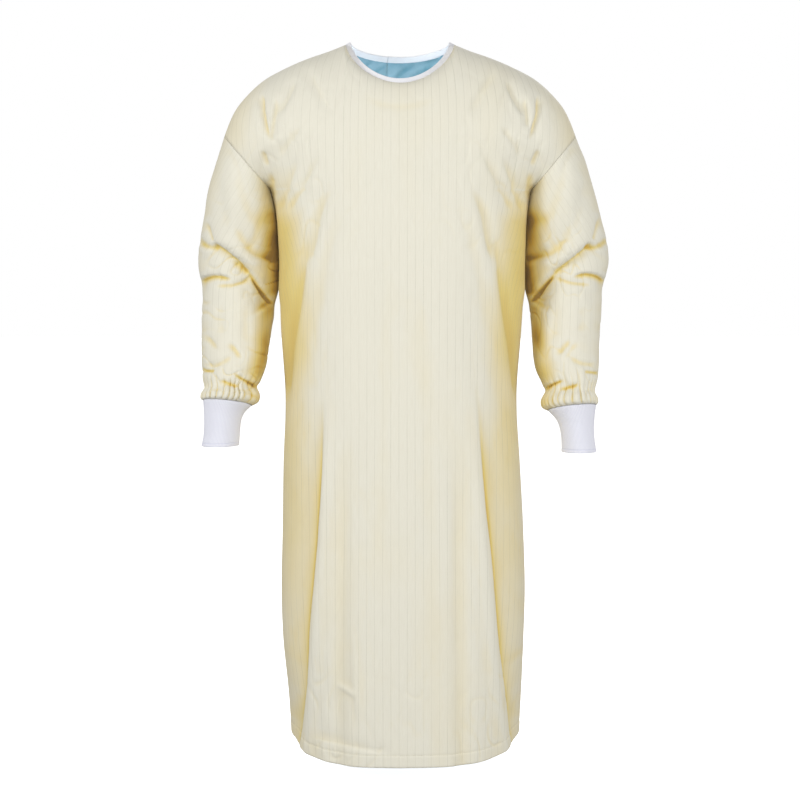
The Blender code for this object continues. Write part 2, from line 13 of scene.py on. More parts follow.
import bpy
import numpy as np
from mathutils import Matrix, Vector


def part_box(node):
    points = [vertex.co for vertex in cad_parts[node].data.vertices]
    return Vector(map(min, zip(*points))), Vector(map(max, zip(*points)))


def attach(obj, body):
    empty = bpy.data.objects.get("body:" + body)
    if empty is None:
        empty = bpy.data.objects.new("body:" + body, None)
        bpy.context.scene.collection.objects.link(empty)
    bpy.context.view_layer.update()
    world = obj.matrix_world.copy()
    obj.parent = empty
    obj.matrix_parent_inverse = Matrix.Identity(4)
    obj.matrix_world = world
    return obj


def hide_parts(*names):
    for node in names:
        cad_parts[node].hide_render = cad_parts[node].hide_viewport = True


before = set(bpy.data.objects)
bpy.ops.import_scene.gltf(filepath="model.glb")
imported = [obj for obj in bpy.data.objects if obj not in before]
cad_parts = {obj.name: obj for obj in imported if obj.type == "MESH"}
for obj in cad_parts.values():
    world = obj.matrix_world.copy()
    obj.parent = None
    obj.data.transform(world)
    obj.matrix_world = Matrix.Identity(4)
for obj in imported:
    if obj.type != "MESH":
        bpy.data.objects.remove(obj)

log = logging.getLogger("gown")

Array = np.ndarray
Pair = tuple[Array, Array]
Piece = bpy.types.Object
Material = bpy.types.Material
Table = dict[str, Array]
Path = tuple[tuple[float, float], ...]
Colour = tuple[float, float, float]

UP = np.array((0.0, 0.0, 1.0))
PIXEL = 0.00166
MIDDLE_COLUMN = 400.0
NECK_LINE = 45.0
VIEW_DISTANCE = 3.6
VIEW_HEIGHT = -0.4
MILLIMETRE = 0.001
SEAM_DRAW = 0.00005
HOLLOW_REACH = 4


class Named(Enum):
    """Options whose names also stand in table columns and in the names of pieces."""

    @property
    def word(self) -> str:
        """The option's name in small letters."""
        return self.name.lower()


class Side(Named):
    """A side of the gown, as the viewer sees it."""

    LEFT = -1
    RIGHT = 1


class Face(Named):
    """The front or the back of the body."""

    FRONT = -1
    BACK = 1


class Bottom(Enum):
    """How a crease's flanks meet along its line."""

    ROUND = "round"
    PINCHED = "pinched"


ROUND, PINCHED = Bottom
COLUMNS = {Face.FRONT: 236, Face.BACK: 190}
SEEDS = {Face.FRONT: 11, Face.BACK: 23, Side.LEFT: 41, Side.RIGHT: 57}


def table(names: str, *rows: tuple[float, ...]) -> Table:
    """Columns of numbers by name."""
    return dict(zip(names.split(), np.array(rows, dtype=float).T))


def smooth(keys: Array, values: Array, at: Array) -> Array:
    """Cubic curve through a table's rows.

    Between two rows the curve is the Hermite cubic with slopes taken from the rows around them.

    Args:
        keys: where each row stands, rising.
        values: one number a row.
        at: where the curve is read.

    Returns:
        The curve's values, in the form of at.
    """
    slopes = np.gradient(values, keys)
    at = np.clip(at, keys[0], keys[-1])
    row = np.clip(np.searchsorted(keys, at, side="right") - 1, 0, len(keys) - 2)
    span = keys[row + 1] - keys[row]
    f = (at - keys[row]) / span
    start = (2 * f ** 3 - 3 * f ** 2 + 1) * values[row] + (f ** 3 - 2 * f ** 2 + f) * span * slopes[row]
    end = (3 * f ** 2 - 2 * f ** 3) * values[row + 1] + (f ** 3 - f ** 2) * span * slopes[row + 1]
    return start + end


def resample(values: Array, at: Array) -> Array:
    """Rows of an array read between its rows, on the cubic curve through them.

    Args:
        values: an array of rows.
        at: row places, as numbers from 0.

    Returns:
        One row for each place.
    """
    flat = values.reshape(len(values), -1)
    keys = np.arange(len(values), dtype=float)
    rows = [smooth(keys, flat[:, i], at) for i in range(flat.shape[1])]
    return np.stack(rows, axis=-1).reshape((len(at),) + values.shape[1:])


def ease(value: Array, low: float, high: float) -> Array:
    """0 below low, 1 above high, with the smooth step 3f^2 - 2f^3 between."""
    f = np.clip((value - low) / (high - low), 0.0, 1.0)
    return f * f * (3 - 2 * f)


def bell(value: Array, width: float) -> Array:
    """Bell curve, 1 at zero and exp(-1) at the width."""
    return np.exp(-(value / width) ** 2)


def unit(vectors: Array) -> Array:
    """Vectors scaled to length one."""
    return vectors / np.maximum(np.linalg.norm(vectors, axis=-1, keepdims=True), 1e-12)


def lengths(path: Array) -> Array:
    """Distance along a path at each of its points."""
    steps = np.linalg.norm(np.diff(path, axis=0), axis=-1)
    return np.concatenate(((0.0,), np.cumsum(steps)))


def read_at(at: Array, keys: Array, values: Array) -> Array:
    """Columns of values, read between their keys on straight lines."""
    return np.stack([np.interp(at, keys, column) for column in values.T], axis=-1)


def picture(points: Array) -> Pair:
    """Where points stand in the front view: each is carried to the plane y = 0.

    Args:
        points: places in space, in metres.

    Returns:
        Places across and down, in pixels.
    """
    share = VIEW_DISTANCE / (VIEW_DISTANCE + points[..., 1])
    across = points[..., 0] * share
    up = VIEW_HEIGHT + (points[..., 2] - VIEW_HEIGHT) * share
    return MIDDLE_COLUMN + across / PIXEL, NECK_LINE - up / PIXEL


def ripple(x: Array, y: Array, seed: int, waves: tuple[float, float], lean: float) -> Array:
    """Smooth uneven waves, about -1 to 1: a sum of eight sines with seeded directions.

    Args:
        x: places across, in pixels.
        y: places down, in pixels.
        seed: number that the waves are drawn from.
        waves: shortest and longest wave, in pixels.
        lean: how far the waves may turn from upright folds, in radians.

    Returns:
        Wave heights in the form of x.
    """
    draw = np.random.default_rng(seed)
    total = np.zeros_like(x)
    for _ in range(8):
        turn = draw.uniform(-lean, lean)
        rate = 2 * math.pi / draw.uniform(*waves)
        total += np.sin(rate * (x * math.cos(turn) + y * math.sin(turn)) + draw.uniform(0, 2 * math.pi))
    return total / 4


@dataclass(frozen=True)
class Fold:
    """A crease along a line in the front view.

    Attributes:
        path: the line's points, in pixels, from its top or from its left.
        depth: how far the cloth is pressed in, in millimetres. A ridge has a negative depth.
        low: width of the flank to the left of a line that goes down, or below one that goes right.
        high: width of the other flank.
        gold: painted shade along it, golden to brown; a negative value takes shade away as a slight painted
            highlight.
        fade: shares of the length over which its start and its end die away.
        bottom: how the flanks meet.
        tinge: share of the widths that the painted shade takes.
    """

    path: Path
    depth: float
    low: float = 4.0
    high: float = 4.0
    gold: float = 0.0
    fade: tuple[float, float] = (0.3, 0.3)
    bottom: Bottom = ROUND
    tinge: float = 0.75

    def shape(self, x: Array, y: Array) -> Pair:
        """Shares of the depth and of the painted shade: bells or rounded peaks over the distance aside.

        Args:
            x: places across, in pixels.
            y: places down, in pixels.

        Returns:
            Shares of the depth and of the painted shade, 0 to 1, in the form of x.
        """
        line = np.array(self.path, dtype=float)
        keys = lengths(line)
        length = keys[-1]
        at = np.linspace(0, length, 33)
        samples = np.stack([smooth(keys, column, at) for column in line.T], axis=-1)
        run = unit(np.gradient(samples, axis=0))
        widest = max(self.low, self.high)
        reach = 4 * widest
        lowest, highest = samples.min(axis=0) - reach, samples.max(axis=0) + reach
        near = (x > lowest[0]) & (x < highest[0]) & (y > lowest[1]) & (y < highest[1])
        out, shade_level = np.zeros_like(x), np.zeros_like(x)
        if not near.any():
            return out, shade_level
        place = np.stack((x[near], y[near]), axis=-1)
        apart = place[:, None, :] - samples[None]
        index = np.argmin(np.sum(apart ** 2, axis=-1), axis=-1)
        gap = place - samples[index]
        along = at[index] + np.sum(gap * run[index], axis=-1)
        aside = gap[:, 0] * run[index, 1] - gap[:, 1] * run[index, 0]
        width = np.where(aside > 0, self.high, self.low)
        if self.bottom is ROUND:
            level = bell(aside, width)
        else:
            blunt, steepness = 0.35, 1.35
            level = np.exp(-(np.sqrt((aside / width) ** 2 + blunt ** 2) - blunt) * steepness)
            level *= 1 - ease(np.abs(aside), 2.6 * width.min(), reach)
        lasting = bell(np.maximum(np.maximum(-along, along - length), 0.0), 2 * widest)
        if self.fade[0] > 0:
            lasting = lasting * ease(along, 0.0, self.fade[0] * length)
        if self.fade[1] > 0:
            lasting = lasting * (1 - ease(along, (1 - self.fade[1]) * length, length))
        out[near] = level * lasting
        shade_level[near] = bell(aside, width * self.tinge) * lasting
        return out, shade_level


def folds(*rows: tuple) -> tuple[Fold, ...]:
    """Folds, from rows of their values. Each row's path holds x and y in turn."""
    return tuple(Fold(tuple(zip(path[::2], path[1::2])), *values) for path, *values in rows)


def mirrored(given: tuple[Fold, ...], shift: float, strength: tuple[float, ...]) -> tuple[Fold, ...]:
    """Folds like others on the far side of the middle, each a little moved and changed in depth.

    Args:
        given: the folds to repeat.
        shift: how far they move to the viewer's right, in pixels.
        strength: depth shares, used in turn.

    Returns:
        One fold for each one given.
    """
    made = []
    for i, fold in enumerate(given):
        upright = abs(fold.path[-1][1] - fold.path[0][1]) > abs(fold.path[-1][0] - fold.path[0][0])
        path = tuple((2 * MIDDLE_COLUMN - x + shift, y) for x, y in fold.path)
        low, high = (fold.high, fold.low) if upright else (fold.low, fold.high)
        fade = fold.fade
        if not upright:
            path = path[::-1]
            fade = fade[::-1]
        share = strength[i % len(strength)]
        made.append(replace(
            fold, path=path, depth=fold.depth * share, low=low, high=high, gold=fold.gold * share, fade=fade
        ))
    return tuple(made)


def pressed(given: tuple[Fold, ...], x: Array, y: Array) -> Pair:
    """Depth in metres and painted shade share of all folds together.

    Args:
        given: the folds.
        x: places across, in pixels.
        y: places down, in pixels.

    Returns:
        Depths and painted shade shares in the form of x.
    """
    depth = np.zeros_like(x)
    gold = np.zeros_like(x)
    for fold in given:
        level, shade_level = fold.shape(x, y)
        depth += level * fold.depth * MILLIMETRE
        gold += shade_level * fold.gold
    return depth, gold


def crumple(x: Array, y: Array, seed: int, waves: tuple[float, float], lean: float) -> Array:
    """Fine sharp creases, 0 to 1: they follow the lines where uneven waves cross zero.

    Args:
        x: places across, in pixels.
        y: places down, in pixels.
        seed: number that the waves are drawn from.
        waves: shortest and longest wave, in pixels.
        lean: how far the waves may turn, in radians.

    Returns:
        Crease shares in the form of x.
    """
    lines = bell(ripple(x, y, seed, waves, lean), 0.17)
    return lines * ease(ripple(x, y, seed + 100, (40, 100), 1.5), -0.5, 0.6)


def hollows(depth: Array, reach: int) -> Array:
    """How far each place lies below the places around it, in millimetres.

    The depth's running means over a few rows and columns are taken from it.

    Args:
        depth: depths on a grid, in metres.
        reach: rows and columns to each side in the mean.

    Returns:
        Differences in the form of depth.
    """
    mean = depth
    for axis in (0, 1):
        pad = [(reach, reach) if i == axis else (0, 0) for i in (0, 1)]
        sums = np.cumsum(np.pad(mean, pad, mode="edge"), axis=axis)
        width = 2 * reach + 1
        first = np.take(sums, range(width - 1, sums.shape[axis]), axis=axis)
        before = np.take(sums, range(0, sums.shape[axis] - width), axis=axis)
        start = np.zeros_like(np.take(first, [0], axis=axis))
        mean = (first - np.concatenate((start, before), axis=axis)) / width
    return (depth - mean) / MILLIMETRE


def flatten(points: Array, rounds: int = 1200) -> Array:
    """Lays a grid of points flat, as its cloth was before it was sewn.

    The grid is thinned, its lines and diagonals act as springs of the lengths that they have in
    space, and the flat grid is moved until they fit. The rest is read on cubics between.

    Args:
        points: rows by columns of points in space.
        rounds: number of times that every spring is eased.

    Returns:
        Rows by columns of flat places, in metres: across from the middle column, and down.
    """
    rows = np.unique(np.linspace(0, len(points) - 1, min(len(points), 34)).round().astype(int))
    columns = np.unique(np.linspace(0, points.shape[1] - 1, min(points.shape[1], 29)).round().astype(int))
    thin = points[np.ix_(rows, columns)]
    span = np.linalg.norm(np.diff(thin[..., :2], axis=1), axis=-1)
    across = np.concatenate((np.zeros((len(thin), 1)), np.cumsum(span, axis=1)), axis=1)
    middle = len(columns) // 2
    across -= across[:, middle:middle + 1]
    flat = np.stack((across, thin[..., 2]), axis=-1)
    pairs = []
    for down, aside in ((0, 1), (1, 0), (1, 1), (1, -1)):
        first = (slice(0, len(rows) - down), slice(max(0, -aside), len(columns) - max(0, aside)))
        last = (slice(down, len(rows)), slice(max(0, aside), len(columns) + min(0, aside)))
        rest = np.linalg.norm(thin[last] - thin[first], axis=-1)
        pairs.append((first, last, rest))
    for _ in range(rounds):
        move = np.zeros_like(flat)
        for first, last, rest in pairs:
            gap = flat[last] - flat[first]
            length = np.linalg.norm(gap, axis=-1)
            pull = gap * ((length - rest) / np.maximum(length, 1e-9))[..., None]
            move[first] += pull
            move[last] -= pull
        flat += 0.13 * move
    flat[..., 0] -= flat[:, middle, 0].mean()
    row_places = np.interp(np.arange(len(points)), rows, np.arange(len(rows)))
    column_places = np.interp(np.arange(points.shape[1]), columns, np.arange(len(columns)))
    tall = resample(flat, row_places)
    return resample(tall.swapaxes(0, 1), column_places).swapaxes(0, 1)


def grid_area(points: Array) -> float:
    """Area of a grid: half the cross product of each cell's diagonals, summed.

    Args:
        points: rows by columns of places, in space or flat.

    Returns:
        The area.
    """
    first = points[1:, 1:] - points[:-1, :-1]
    second = points[1:, :-1] - points[:-1, 1:]
    if points.shape[-1] == 2:
        return float(np.abs(first[..., 0] * second[..., 1] - first[..., 1] * second[..., 0]).sum() / 2)
    return float(np.linalg.norm(np.cross(first, second), axis=-1).sum() / 2)


def grid_faces(rows: int, columns: int, ring: bool, loop: bool = False) -> Pair:
    """Four-sided faces of a grid, by point number and by place in its flat map.

    Args:
        rows: rows of points.
        columns: columns of points.
        ring: whether the last column meets the first.
        loop: whether the last row meets the first.

    Returns:
        Faces as point numbers, and as numbers in a map with one more row or column where it closes.
    """
    i, j = np.meshgrid(np.arange(rows - (not loop)), np.arange(columns - (not ring)), indexing="ij")
    i, j = i.ravel(), j.ravel()
    wide = columns + ring
    corners = ((0, 0), (1, 0), (1, 1), (0, 1))
    faces = np.stack([((i + a) % rows) * columns + (j + b) % columns for a, b in corners], axis=-1)
    places = np.stack([(i + a) * wide + j + b for a, b in corners], axis=-1)
    return faces, places


def flat_size(flat: Array) -> tuple[tuple[float, float], float]:
    """Width and height of a sheet's flat places, and its area, which is no larger than their box."""
    width, height = (round(float(span), 3) for span in np.ptp(flat, axis=(0, 1)))
    return (width, height), round(min(grid_area(flat), width * height), 4)


def inside_out(points: Array, faces: Array, ways: Array) -> bool:
    """Whether a mesh's first faces point against the ways out given for them.

    Args:
        points: its points, in any grid.
        faces: its faces with four corners, as point numbers.
        ways: a way out for each of the first faces.

    Returns:
        True where the faces have to be turned round.
    """
    corners = points.reshape(-1, 3)[faces[:len(ways)]]
    cross = np.cross(corners[:, 2] - corners[:, 0], corners[:, 3] - corners[:, 1])
    return bool(np.sum(cross * ways) < 0)


def tube_normals(rings: Array) -> Pair:
    """Normals of a tube: the cross product of the ways round it and along it, turned outwards.

    Args:
        rings: closed rings of points.

    Returns:
        Unit normals, and the middle of each ring.
    """
    middle = rings.mean(axis=1, keepdims=True)
    around = np.roll(rings, -1, axis=1) - np.roll(rings, 1, axis=1)
    normal = np.cross(around, np.gradient(rings, axis=0))
    inwards = np.sum(normal * (rings - middle), axis=-1, keepdims=True) < 0
    return unit(np.where(inwards, -normal, normal)), middle


def add_piece(
    name: str, points: Array, faces: list, materials: tuple, uv: Array | None = None,
    gold: Array | None = None,
) -> Piece:
    """Puts points and faces in a new object at the origin.

    Args:
        name: the piece's name.
        points: its points, in metres.
        faces: its faces, as point numbers.
        materials: its materials, in slot order.
        uv: a flat place for each face corner, in metres, or None.
        gold: a painted shade share for each point, or None.

    Returns:
        The object.
    """
    mesh = bpy.data.meshes.new(name)
    mesh.from_pydata(points.reshape(-1, 3).tolist(), [], faces)
    if uv is not None:
        layer = mesh.uv_layers.new(name="cloth")
        layer.data.foreach_set("uv", uv.astype(np.float32).ravel())
    if gold is not None:
        shade = mesh.attributes.new("gold", "FLOAT", "POINT")
        shade.data.foreach_set("value", gold.astype(np.float32).ravel())
    for material in materials:
        mesh.materials.append(material)
    mesh.shade_smooth()
    mesh.update()
    piece = bpy.data.objects.new(name, mesh)
    bpy.context.collection.objects.link(piece)
    return piece


def place_piece(piece: Piece, slot: str, *nodes: str) -> None:
    """Makes a piece ride on the gown and stand for its nodes, whose solids it hides."""
    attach(piece, "root")
    if nodes:
        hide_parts(*nodes)
    log.info("%s: %d faces", piece.name, len(piece.data.polygons))


def add_shell(
    node: str, points: Array, uv: Array, gold: Array, materials: tuple, ring: bool, middle: Array,
    thickness: float,
) -> Piece:
    """A cloth shell on a grid of points, with its thickness on the inside, in place of a solid.

    Args:
        node: the solid's node, which also names the piece.
        points: rows by columns of points on its outside.
        uv: flat places, with one more column where the grid is a ring.
        gold: painted shade shares, rows by columns.
        materials: the outside's material and the inside's.
        ring: whether the last column meets the first.
        middle: points inside the form, which say which way is out.
        thickness: of the cloth, in metres.

    Returns:
        The object, with its thickness as a modifier.
    """
    rows, columns = points.shape[:2]
    faces, places = grid_faces(rows, columns, ring)
    ways = (points - middle).reshape(-1, 3)[faces[:, 0]]
    if inside_out(points, faces, ways):
        faces, places = faces[:, ::-1], places[:, ::-1]
    corners = uv.reshape(-1, 2)[places]
    piece = add_piece(node + "_cloth", points, faces.tolist(), materials, corners, gold)
    wall = piece.modifiers.new("thickness", "SOLIDIFY")
    wall.thickness = thickness
    wall.offset = -1.0
    wall.material_offset = 1
    wall.material_offset_rim = 0
    place_piece(piece, "striped_cloth", node)
    return piece


class Link:
    """A shader socket that takes part in Python expressions."""

    def __init__(self, kit: "Shader", socket: bpy.types.NodeSocket) -> None:
        """Keeps the socket and the shader that it is in."""
        self.kit = kit
        self.socket = socket

    def __add__(self, other: "Link | float") -> "Link":
        """Sum."""
        return self.kit.math("ADD", self, other)

    __radd__ = __add__

    def __sub__(self, other: "Link | float") -> "Link":
        """Difference."""
        return self.kit.math("SUBTRACT", self, other)

    def __rsub__(self, other: "Link | float") -> "Link":
        """Difference from a number."""
        return self.kit.math("SUBTRACT", other, self)

    def __mul__(self, other: "Link | float") -> "Link":
        """Product."""
        return self.kit.math("MULTIPLY", self, other)

    __rmul__ = __mul__

    def __truediv__(self, other: "Link | float") -> "Link":
        """Quotient."""
        return self.kit.math("DIVIDE", self, other)

    def within(self, low: float, high: float) -> "Link":
        """The value's smooth share of the way from low to high, held to 0 and 1."""
        settings = {"interpolation_type": "SMOOTHSTEP"}
        inputs = {"Value": self, "From Min": low, "From Max": high}
        return self.kit.node("ShaderNodeMapRange", settings, inputs)


class Shader:
    """One material's node tree, built from Python expressions."""

    def __init__(self, name: str) -> None:
        """Starts a material with its principled shader."""
        self.material = bpy.data.materials.new(name)
        self.material.use_nodes = True
        self.tree = self.material.node_tree
        self.principled = self.tree.nodes["Principled BSDF"]

    def node(self, kind: str, settings: dict, inputs: dict, output: int | str = 0) -> Link:
        """Adds a node.

        Args:
            kind: the node's type.
            settings: its settings, set first. stops holds a ramp's places and colours.
            inputs: values or links of its sockets, by name or number.
            output: the socket that is handed back.

        Returns:
            The output as a link.
        """
        made = self.tree.nodes.new(kind)
        for name, value in settings.items():
            if name == "stops":
                ramp = made.color_ramp
                while len(ramp.elements) < len(value):
                    ramp.elements.new(0.5)
                for element, (place, colour) in zip(ramp.elements, value):
                    element.position = place
                    element.color = (*colour, 1.0)
            else:
                setattr(made, name, value)
        for name, value in inputs.items():
            self.join(made.inputs[name], value)
        return Link(self, made.outputs[output])

    def join(self, socket: bpy.types.NodeSocket, value: "Link | float | tuple") -> None:
        """Links a socket, or sets its value."""
        if isinstance(value, Link):
            self.tree.links.new(value.socket, socket)
        else:
            socket.default_value = value

    def math(self, operation: str, first: "Link | float", second: "Link | float" = 0.0) -> Link:
        """A Math node on one or two values."""
        return self.node("ShaderNodeMath", {"operation": operation}, {0: first, 1: second})

    def places(self) -> tuple[Link, Link, Link]:
        """The flat cloth map as a vector, and its places across and along, in metres."""
        vector = self.node("ShaderNodeUVMap", {"uv_map": "cloth"}, {})
        across = self.node("ShaderNodeSeparateXYZ", {}, {0: vector}, "X")
        along = self.node("ShaderNodeSeparateXYZ", {}, {0: vector}, "Y")
        return vector, across, along

    def noise(self, vector: Link, across: float, along: float, detail: float = 2.0) -> Link:
        """Noise on the cloth map, stretched: waves a metre across it and along it."""
        scaled = self.node(
            "ShaderNodeVectorMath", {"operation": "MULTIPLY"}, {0: vector, 1: (across, along, 1.0)}
        )
        return self.node("ShaderNodeTexNoise", {}, {"Vector": scaled, "Scale": 1.0, "Detail": detail})

    def grain(self, scale: float, detail: float) -> Link:
        """Noise in the piece's own space."""
        place = self.node("ShaderNodeTexCoord", {}, {}, "Object")
        return self.node("ShaderNodeTexNoise", {}, {"Vector": place, "Scale": scale, "Detail": detail})

    def gold(self) -> Link:
        """The painted shade share that the mesh's points carry: in the cloth's creases and turned-away
        sides, or in the grooves between a cuff's ribs.
        """
        return self.node("ShaderNodeAttribute", {"attribute_name": "gold"}, {}, "Fac")

    def weave(self, across: Link, along: Link, thread: float) -> Link:
        """Threads that cross: a sine across times a sine along."""
        rate = 2 * math.pi / thread
        return self.math("SINE", across * rate) * self.math("SINE", along * rate)

    def mix(self, share: "Link | float", first: "Link | tuple", second: "Link | tuple") -> Link:
        """Mixes two colours by a share."""
        inputs = {0: share, 6: self.colour(first), 7: self.colour(second)}
        return self.node("ShaderNodeMix", {"data_type": "RGBA"}, inputs, 2)

    def colour(self, value: "Link | tuple") -> "Link | tuple":
        """A colour with its fourth number, or the link itself."""
        return value if isinstance(value, Link) else (*value, 1.0)

    def finish(
        self, colour: Link, rough: "Link | float", height: Link, relief: float, sheen: float = 0.0
    ) -> Material:
        """Joins colour, roughness and relief to the shader.

        Args:
            colour: base colour.
            rough: roughness.
            height: relief, 0 to 1.
            relief: depth of the relief, in metres.
            sheen: weight of the fibres' sheen.

        Returns:
            The material.
        """
        inputs = {"Height": height, "Strength": 0.6, "Distance": relief}
        bump = self.node("ShaderNodeBump", {}, inputs, "Normal")
        self.join(self.principled.inputs["Base Color"], colour)
        self.join(self.principled.inputs["Roughness"], rough)
        self.join(self.principled.inputs["Normal"], bump)
        self.principled.inputs["Specular IOR Level"].default_value = 0.25
        self.principled.inputs["Sheen Weight"].default_value = sheen
        self.principled.inputs["Sheen Roughness"].default_value = 0.5
        return self.material


@dataclass(frozen=True)
class StripedCloth:
    """Outside of the gown cloth: cream weave with fine grey-olive stripes along the grain, and painted shade
    that turns it golden to brown in creases and on turned-away sides.
    """

    lit: Colour = (0.79, 0.767, 0.66)
    # The four colours after lit are painted shade, from half shade in shallow creases to the darkest in the
    # deepest ones.
    calm: Colour = (0.79, 0.69, 0.43)
    golden: Colour = (0.755, 0.60, 0.20)
    deep: Colour = (0.60, 0.38, 0.045)
    brown: Colour = (0.30, 0.17, 0.025)
    stripe: Colour = (0.34, 0.33, 0.24)
    pitch: float = 0.0130
    width: float = 0.0010
    thread: float = 0.0007

    def build(self) -> Material:
        """Builds the material.

        A stripe stands where the place across is near a whole number of pitches. The painted shade share
        turns the colour from lit cream to golden and brown painted shade, and threads that cross give the
        relief.

        Returns:
            The material.
        """
        kit = Shader("striped_cream_cloth")
        vector, across, along = kit.places()
        gold = kit.gold()
        patches = kit.noise(vector, 9.0, 4.0)
        slubs = kit.noise(vector, 700.0, 40.0)
        # The painted shade share, with random patches of tone, picks the colour from lit cream to the
        # darkest painted shade.
        share = gold + (patches - 0.5) * 0.16
        colours = (self.lit, self.calm, self.golden, self.deep, self.brown)
        stops = tuple(zip((0.0, 0.28, 0.58, 0.82, 1.0), colours))
        ground = kit.node("ShaderNodeValToRGB", {"stops": stops}, {"Fac": share}, "Color")
        ground = kit.mix((slubs - 0.5) * 0.25 + 0.12, ground, (0.52, 0.47, 0.33))
        lane = kit.math("ABSOLUTE", kit.math("FRACT", across / self.pitch + 0.5) - 0.5) * self.pitch
        drawn = 1.0 - lane.within(self.width * 0.35, self.width * 0.75)
        wear = kit.noise(vector, 20.0, 300.0)
        fading = kit.noise(vector, 7.0, 5.0).within(0.3, 0.65)
        # Stripes stand out more where there is painted shade.
        strength = (0.05 + wear * 0.24) * (0.45 + fading * 0.75) + gold * 0.14
        colour = kit.mix(drawn * strength, ground, self.stripe)
        weave = kit.weave(across, along, self.thread)
        height = weave * 0.25 + slubs * 0.5 + drawn * 0.2
        return kit.finish(colour, 0.72 + slubs * 0.16, height, relief=0.00012, sheen=0.12)


@dataclass(frozen=True)
class InnerCloth:
    """Inside of the gown cloth: teal-blue, with painted shade in its creases and random darker patches."""

    lit: Colour = (0.34, 0.53, 0.62)
    dark: Colour = (0.11, 0.30, 0.38)
    thread: float = 0.0007

    def build(self) -> Material:
        """Builds the material: random patches and the painted shade share darken the teal, threads give
        relief.

        Returns:
            The material.
        """
        kit = Shader("teal_inner_cloth")
        vector, across, along = kit.places()
        gold = kit.gold()
        patches = kit.noise(vector, 26.0, 22.0, 3.0)
        share = (patches - 0.42) * 1.6 + gold * 2.2
        slubs = kit.noise(vector, 700.0, 40.0)
        colour = kit.mix(kit.math("MINIMUM", kit.math("MAXIMUM", share, 0.0), 1.0), self.lit, self.dark)
        weave = kit.weave(across, along, self.thread)
        return kit.finish(colour, 0.7 + slubs * 0.15, weave * 0.3 + slubs * 0.5, relief=0.00012)


@dataclass(frozen=True)
class RibKnit:
    """White rib knit of the cuffs."""

    lit: Colour = (0.83, 0.835, 0.90)
    # groove is the painted shade colour of the grooves between ribs.
    groove: Colour = (0.60, 0.61, 0.74)
    course: float = 0.0013
    rib: float = 0.0024

    def build(self) -> Material:
        """Builds the material: courses of leaning stitches, and painted shade in the grooves between the
        ribs.

        Returns:
            The material.
        """
        kit = Shader("white_rib_knit")
        vector, across, along = kit.places()
        groove = kit.gold()
        fuzz = kit.noise(vector, 1500.0, 900.0, 3.0)
        lean = kit.math("ABSOLUTE", kit.math("FRACT", across / self.rib) - 0.5)
        stitch = kit.math("SINE", (along / self.course + lean * 1.4) * (2 * math.pi))
        # Painted shade in the grooves, with random fuzz.
        colour = kit.mix(groove * 0.75 + (fuzz - 0.5) * 0.12, self.lit, self.groove)
        return kit.finish(colour, 0.82 + fuzz * 0.12, stitch * 0.5 + fuzz * 0.6, relief=0.0002, sheen=0.3)


@dataclass(frozen=True)
class BindingTape:
    """White twill tape of the neck binding."""

    lit: Colour = (0.88, 0.88, 0.91)
    shade: Colour = (0.68, 0.67, 0.76)
    wale: float = 0.0009

    def build(self) -> Material:
        """Builds the material: fine wales that cross the tape at an angle.

        Returns:
            The material.
        """
        kit = Shader("white_binding_tape")
        vector, across, along = kit.places()
        fuzz = kit.noise(vector, 900.0, 900.0)
        wale = kit.math("SINE", (along + across * 1.4) * (2 * math.pi / self.wale))
        patches = kit.noise(vector, 60.0, 35.0)
        colour = kit.mix((patches - 0.4) * 0.5 + (fuzz - 0.5) * 0.15, self.lit, self.shade)
        return kit.finish(colour, 0.75 + fuzz * 0.1, wale * 0.4 + fuzz * 0.4, relief=0.00012)


@dataclass(frozen=True)
class Thread:
    """Sewing thread."""

    colour: Colour = (0.74, 0.70, 0.55)

    def build(self, name: str) -> Material:
        """Builds the material: fine fibres that darken the colour.

        Args:
            name: the material's name.

        Returns:
            The material.
        """
        kit = Shader(name)
        fuzz = kit.grain(2600.0, 2.0)
        darker = tuple(c * 0.72 for c in self.colour)
        colour = kit.mix(fuzz, self.colour, darker)
        return kit.finish(colour, 0.6 + fuzz * 0.2, fuzz, relief=0.0001)


@dataclass(frozen=True)
class StudPlastic:
    """Plain white moulded plastic of the press studs."""

    colour: Colour = (0.82, 0.81, 0.78)

    def build(self) -> Material:
        """Builds the material: a faint moulding grain and small scuffs.

        Returns:
            The material.
        """
        kit = Shader("white_stud_plastic")
        grain = kit.grain(1200.0, 3.0)
        scuffs = kit.grain(180.0, 4.0)
        colour = kit.mix(scuffs * 0.25, self.colour, (0.66, 0.65, 0.61))
        return kit.finish(colour, 0.32 + scuffs * 0.25, grain, relief=0.00005)


@dataclass(frozen=True)
class Finishes:
    """Every material of the gown. The cloth has one for its outside and one for its inside."""

    cloth: tuple[Material, Material]
    knit: Material
    tape: Material
    thread: Material
    white_thread: Material
    plastic: Material

    @classmethod
    def build(cls) -> "Finishes":
        """Builds every material."""
        return cls(
            (StripedCloth().build(), InnerCloth().build()), RibKnit().build(), BindingTape().build(),
            Thread().build("cream_thread"), Thread((0.82, 0.82, 0.85)).build("white_thread"),
            StudPlastic().build(),
        )


